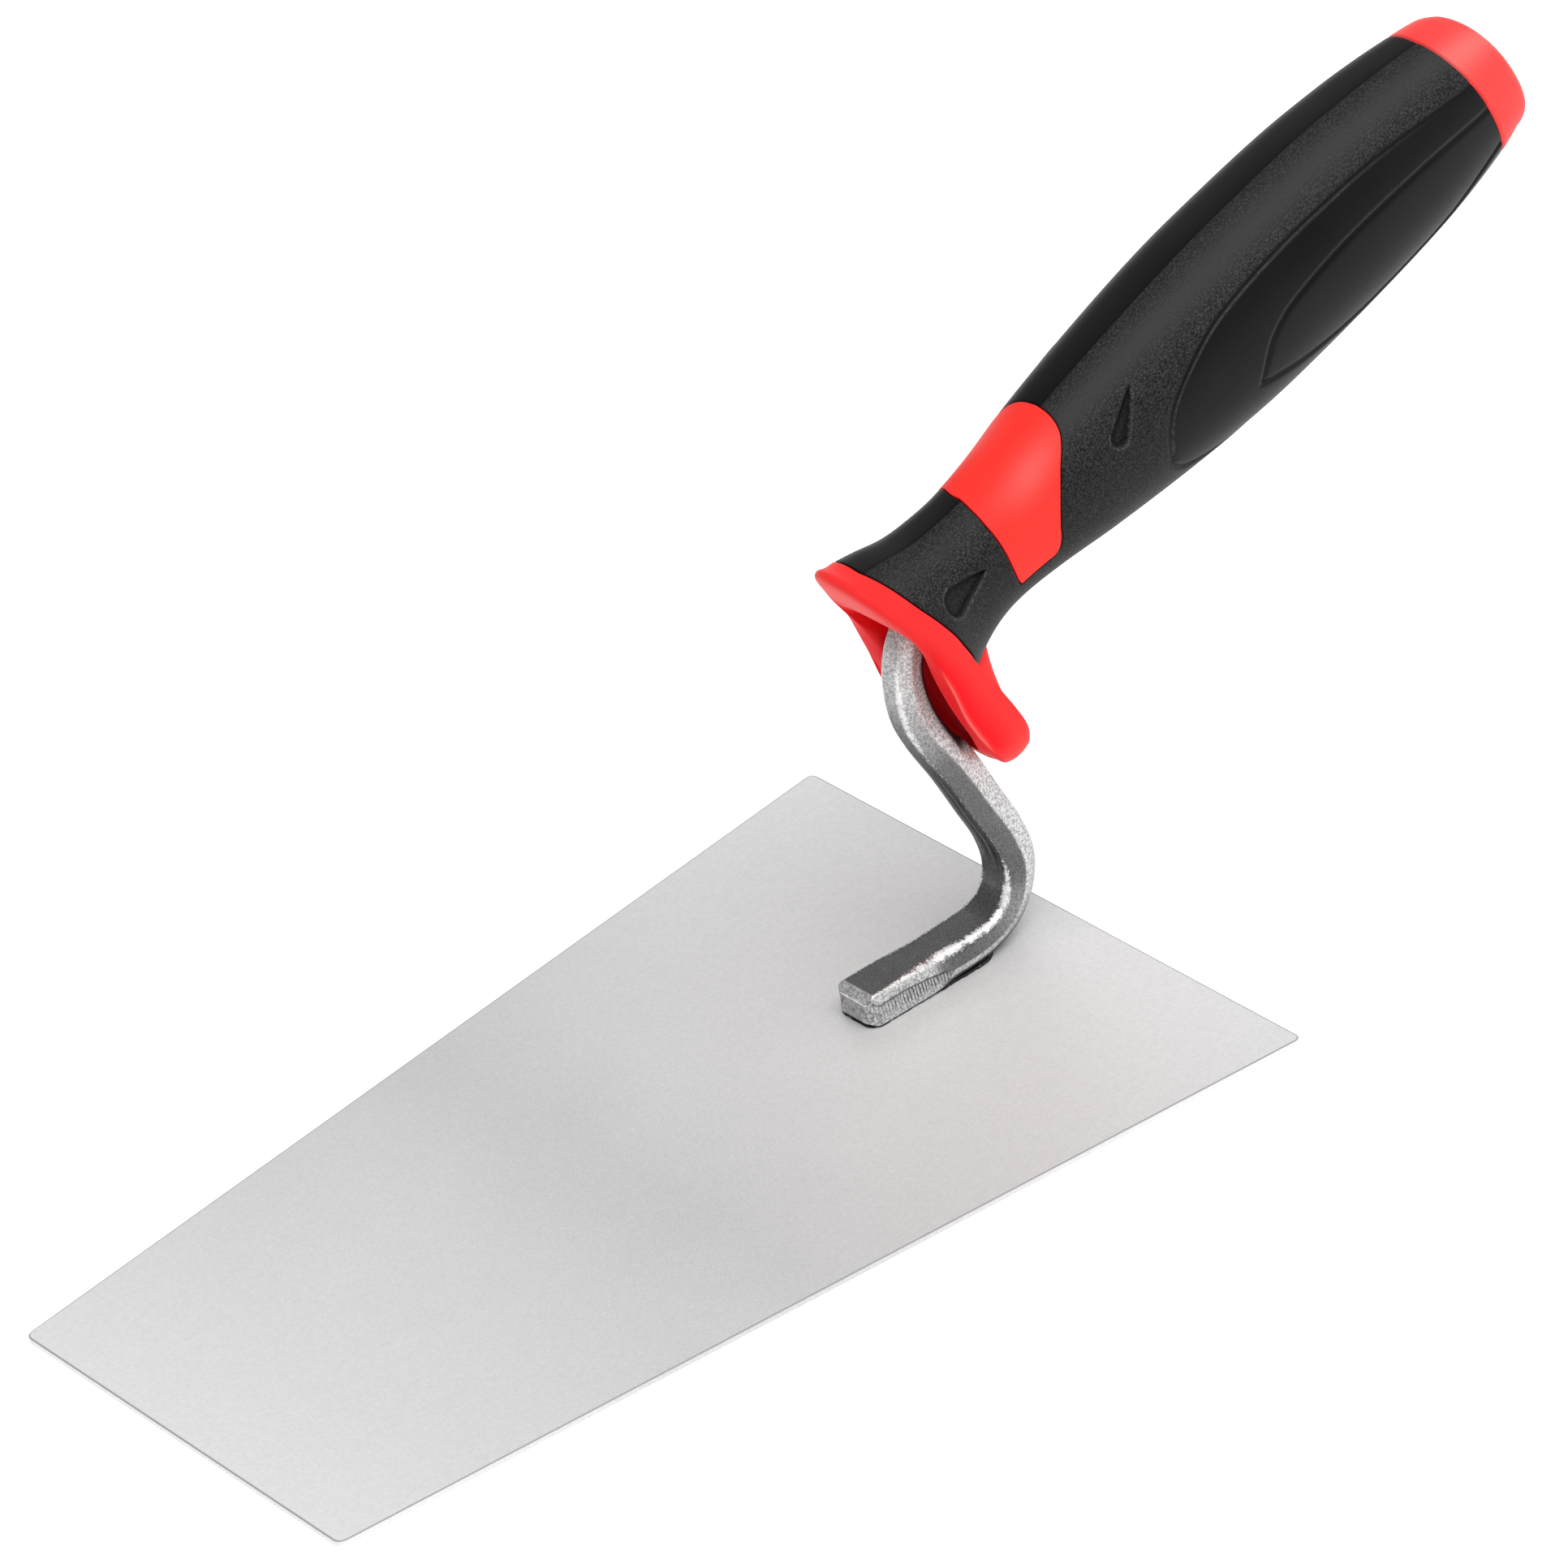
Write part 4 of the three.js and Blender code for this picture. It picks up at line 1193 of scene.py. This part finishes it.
# ---- core with its red saddle ----
def build_core(material):
    columns = np.arange(72) * 5.0
    start = front_seam(columns) + HIDDEN_GAP
    end = rear_seam(columns) - HIDDEN_GAP
    s = start + (end - start) * np.linspace(0, 1, 24)[:, None]
    ends = grip_point(np.array([SEAM_MIDDLE + HIDDEN_GAP, CAP_SEAM - HIDDEN_GAP]), 0.0, 0.0)
    body, faces = closed_tube(grip_surface(s, np.broadcast_to(columns, s.shape), WALL + HIDDEN_GAP), *ends)
    low = PATCH_LOW + 0.5
    angles = np.linspace(low, 180 - low, 216)
    a = patch_front(angles) + SEAM_GAP
    b = patch_rear(angles) - SEAM_GAP
    s = zone(a, b, ROWS_WINDOW)
    angle = np.broadcast_to(angles, s.shape)
    arc = np.radians(folded(angle) - low) * PATCH_RADIUS
    to_edge = np.minimum(np.minimum(s - a, b - s), arc)
    outer = grip_surface(s, angle, edge_drop(to_edge, SADDLE_EDGE)).reshape(-1, 3)
    inner = grip_surface(s, angle, WALL + 1.2).reshape(-1, 3)
    base = len(body)
    rows, across = s.shape
    faces += strip_faces(rows, across, base)
    faces += [tuple(reversed(f)) for f in strip_faces(rows, across, base + len(outer))]
    rim = [k * across for k in range(rows)]
    rim += [(rows - 1) * across + i for i in range(1, across)]
    rim += [k * across + across - 1 for k in range(rows - 2, -1, -1)]
    rim += list(range(across - 2, 0, -1))
    for p, q in zip(rim, rim[1:] + rim[:1]):
        faces.append((base + q, base + p, base + p + len(outer), base + q + len(outer)))
    # Painted highlight: a lighter band across the saddle.
    lit = 0.42 * hump(folded(angle), 56, 17) * hump((s - a) / (b - a), 0.62, 0.34)
    values = {
        # Painted shade: the saddle darker along its edge, in the gap to the sleeve.
        "painted_shade": np.concatenate([np.ones(base), (0.6 * (to_edge < 0.05)).ravel(), np.ones(len(inner))]),
        "painted_highlight": np.concatenate([np.zeros(base), lit.ravel(), np.zeros(len(inner))]),
    }
    points = np.concatenate([body, outer, inner])
    return make_piece("core_saddle", points, faces, material, values, sharp=60)


# ---- end cap ----
def build_cap(material):
    columns = np.arange(180) * 2.0
    narrowest = np.full(len(columns), CAP_NARROWEST)
    shares = np.concatenate([[0, 0.006, 0.018, 0.035, 0.055], np.linspace(0.1, 0.9, 18),
                             np.linspace(0.91, 1, 12)])
    seam = rear_seam(columns)
    rings = [grip_surface(seam, columns, WALL + 1.0)]
    for share in shares:
        inset = along(CAP_RINGS, share, 1) + CAP_TRIM
        rim = grip_section(narrowest, columns, inset)[1]
        s = seam + (CAP_END - CAP_END_LEAN * rim - seam) * share
        bevel = 0.42 * (1 - smooth_step(0, 0.05, share)) ** 1.2
        if share < 0.6:
            rings.append(grip_surface(s, columns, inset + bevel))
        else:
            rings.append(grip_point(s, *grip_section(np.minimum(s, CAP_NARROWEST), columns, inset)))
    y, rim = grip_section(narrowest, columns, CAP_RINGS[-1][1])
    for share in (0.8, 0.55, 0.3):
        s = CAP_END - CAP_END_LEAN * rim * share + CAP_CROWN * (1 - share**2)
        rings.append(grip_point(s, y * share, rim * share))
    ends = grip_point(np.array([CAP_SEAM, CAP_END + CAP_CROWN]), 0.0, 0.0)
    points, faces = closed_tube(rings, *ends)
    # Painted highlight: a lighter band along the cap.
    lit = 0.75 * hump(folded(columns), 56, 16)
    painted_highlight = np.concatenate([np.tile(lit, len(rings)), np.zeros(2)])
    return make_piece("butt_cap", points, faces, material, {"painted_highlight": painted_highlight}, sharp=70)


# ---- finger guard ----
def guard_profiles(angle):
    """Points of the guard from the seam over the rim to the floor of its pocket, for each angle."""
    a = np.radians(angle)
    up = np.sin(a) > 0
    q = np.where(up, 2 / GUARD_SQUARENESS_TOP, 2 / GUARD_SQUARENESS_BOTTOM)
    y = GUARD_HALF_WIDTH * power(np.cos(a), q)
    h = GUARD_CENTRE + np.where(up, GUARD_TOP, GUARD_BOTTOM) * power(np.sin(a), q)
    seam_s = front_seam(angle) - SEAM_GAP
    tucked, rounded_seam, seam = (
        np.stack([seam_s, *grip_section(seam_s, angle, inset)], -1) for inset in (WALL, 0.2, 0.0)
    )
    rear = np.stack([along(GUARD_REAR, h, 1), y * along(GUARD_REAR, h, 2), h], -1)
    front = np.stack([along(GUARD_FRONT, h, 1), y * along(GUARD_FRONT, h, 2), h * FRONT_LOWER], -1)
    front[:, 0] -= LOWER_LIP_BULGE * (1 - (y / GUARD_HALF_WIDTH) ** 2) * smooth_step(*LOWER_LIP, h)
    flare = np.hypot(rear[:, 1] - seam[:, 1], rear[:, 2] - seam[:, 2])
    hollow = seam + (rear - seam) * np.array([HOLLOW_REARWARD, HOLLOW_OUTWARD, HOLLOW_OUTWARD])
    hollow[:, 0] -= HOLLOW_DIP * flare
    bulge = (rear + front) / 2
    bulge[:, 1] *= RIM_WIDER
    bulge[:, 2] = (h - GUARD_CENTRE) * RIM_TALLER + GUARD_CENTRE + RIM_TOP_RISE * smooth_step(8, 14, h)
    mouth_h = MOUTH_CENTRE + MOUTH_HALF_HEIGHT * power(np.sin(a), 2 / MOUTH_SQUARENESS)
    mouth_y = along(MOUTH_SPAN, mouth_h, 1) * power(np.cos(a), 2 / MOUTH_SQUARENESS)
    lip = np.stack([along(GUARD_FRONT, mouth_h, 1) + 0.1, mouth_y, mouth_h], -1)
    lip[:, 0] -= 0.6 * LOWER_LIP_BULGE * smooth_step(*LOWER_LIP, mouth_h)

    def shrunk(station, share):
        return np.stack([np.full(len(a), station), mouth_y * share,
                         (mouth_h - MOUTH_CENTRE) * share + MOUTH_CENTRE], -1)

    steps = np.arange(1, RIM_STEPS + 1) / RIM_STEPS
    lines = [seam]
    lines += [corner_point(u, seam, hollow, rear) for u in steps]
    lines += [corner_point(u, rear, bulge, front) for u in steps]
    lines += [front + (lip - front) * u for u in FACE_SHARES]
    wall = shrunk(POCKET_FLOOR - 1.2, 0.97)
    lines += [lip + (wall - lip) * u for u in (0.03, 0.08, 0.2, 0.45, 0.72, 1)]
    lines += [shrunk(POCKET_FLOOR - 0.3, 0.93)]
    lines += [shrunk(POCKET_FLOOR, share) for share in (0.85, 0.6, 0.3)]
    lines = np.array(lines)
    for step in range(SMOOTHING_STEPS):
        softer = 0.25 * lines[:-2] + 0.5 * lines[1:-1] + 0.25 * lines[2:]
        share = 1.0 if step == 0 else smooth_step(-6, 2, h)[None, :, None]
        lines[1:-1] += (softer - lines[1:-1]) * share
    return np.concatenate([[tucked, rounded_seam], lines[1:]])


def build_guard(material):
    profiles = guard_profiles(np.arange(240) * 1.5)
    rings = [grip_point(*profile.T) for profile in profiles]
    ends = grip_point(np.array([SEAM_MIDDLE, POCKET_FLOOR]), 0.0, np.array([0.0, MOUTH_CENTRE]))
    points, faces = closed_tube(rings, *ends)
    front = 1 + 2 * RIM_STEPS
    mouth = front + len(FACE_SHARES)
    front_height = profiles[front][:, 2]
    mouth_height = profiles[mouth][:, 2]
    lip_face = smooth_step(8, -8, front_height) * smooth_step(-28, -21, front_height)
    depth = np.zeros(profiles.shape[:2])
    # Painted shade: a more saturated red on the shaded lip face and the rim just before the crease.
    depth[front - 8:front] = np.linspace(0.05, 0.34, 8)[:, None] * lip_face
    depth[front:mouth] = 0.35 * lip_face
    # Painted shade deep in the pocket, less near its top.
    depth[mouth + 1:] = np.array(POCKET_PAINTED_SHADE)[:, None] * (1 - 0.62 * smooth_step(-12, 0, mouth_height))
    crease = np.zeros(profiles.shape[:2])
    drawn = smooth_step(-2, -8, front_height) * smooth_step(-25, -19, front_height)
    # Painted highlight along the crease of the lower front rim.
    crease[front - 1:front + 2] = np.array([0.15, 0.85, 0.25])[:, None] * drawn
    values = {
        "painted_shade": np.concatenate([depth.ravel(), [1, 1]]),
        "edge": np.concatenate([crease.ravel(), [0, 0]]),
    }
    return make_piece("guard_hood", points, faces, material, values, sharp=75)


# ---- the object ----
pieces = [
    # piece, the CAD node it stands for, its finish
    (build_blade(blade_steel()), "blade", "blade_steel"),
    (build_weld(weld_and_painted_shadow()), "weld_layer", "weld"),
    (build_neck(neck_zinc()), "neck_shank", "neck_zinc"),
    (build_guard(red_plastic("red_guard", RED_GUARD)), "finger_guard", "red_plastic"),
    (build_core(red_plastic("red_saddle", RED_SADDLE)), "handle_core", "red_plastic"),
    (build_sleeve(black_rubber()), "grip_sleeve", "black_grip"),
    (build_cap(red_plastic("red_cap", RED_CAP)), "end_cap", "red_plastic"),
]
for piece, node, finish in pieces:
    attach(piece, "root")
    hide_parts(node)


# ---- stage, lights and camera ----
def build_floor():
    size = 3000.0
    depth = -0.02
    corners = [(-size, -size, depth), (size, -size, depth), (size, size, depth), (-size, size, depth)]
    mesh = bpy.data.meshes.new("floor")
    mesh.from_pydata([tuple(v * MM for v in p) for p in corners], [], [(0, 1, 2, 3)])
    mesh.materials.append(floor_paint())
    floor = bpy.data.objects.new("floor", mesh)
    bpy.context.scene.collection.objects.link(floor)
    return floor


def build_world():
    """Light grey room, brighter on the side of the camera."""
    world = bpy.data.worlds.new("studio")
    world.use_nodes = True
    tree = world.node_tree
    place = tree.nodes.new("ShaderNodeTexCoord")
    split = tree.nodes.new("ShaderNodeSeparateXYZ")
    tree.links.new(place.outputs["Generated"], split.inputs[0])
    side = tree.nodes.new("ShaderNodeMapRange")
    for key, number in (("From Min", -1.0), ("From Max", 1.0), ("To Min", 0.32), ("To Max", 0.62)):
        side.inputs[key].default_value = number
    tree.links.new(split.outputs["Y"], side.inputs["Value"])
    tree.links.new(side.outputs[0], tree.nodes["Background"].inputs["Strength"])
    tree.nodes["Background"].inputs["Color"].default_value = (1.0, 1.0, 1.0, 1.0)
    bpy.context.scene.world = world


def soft_light(name, location, size, strength):
    data = bpy.data.lights.new(name, "AREA")
    data.shape = "RECTANGLE"
    data.size = size[0]
    data.size_y = size[1]
    data.energy = strength
    light = bpy.data.objects.new(name, data)
    light.location = location
    direction = Vector(LIGHT_AIM) - Vector(location)
    light.rotation_mode = "QUATERNION"
    light.rotation_quaternion = direction.to_track_quat("-Z", "Y")
    bpy.context.scene.collection.objects.link(light)


def build_camera():
    data = bpy.data.cameras.new("camera")
    data.sensor_width = SENSOR
    data.lens = LENS
    data.clip_start = 0.05
    data.clip_end = 20.0
    camera = bpy.data.objects.new("camera", data)
    azimuth = math.radians(CAMERA_AZIMUTH)
    elevation = math.radians(CAMERA_ELEVATION)
    roll = math.radians(CAMERA_ROLL)
    back = Vector((
        math.sin(azimuth) * math.cos(elevation),
        -math.cos(azimuth) * math.cos(elevation),
        math.sin(elevation),
    ))
    level = back.cross(Vector((0, 0, 1))).normalized() * -1
    upright = back.cross(level)
    right = level * math.cos(roll) + upright * math.sin(roll)
    turn = Matrix((right, back.cross(right), back)).transposed()
    camera.matrix_world = Matrix.Translation(CAMERA_AT) @ turn.to_4x4()
    bpy.context.scene.collection.objects.link(camera)
    bpy.context.scene.camera = camera


build_floor()
build_world()
for lamp in LIGHTS:
    soft_light(*lamp)
build_camera()
bpy.context.scene.view_settings.view_transform = "Standard"
bpy.context.scene.view_settings.look = "None"
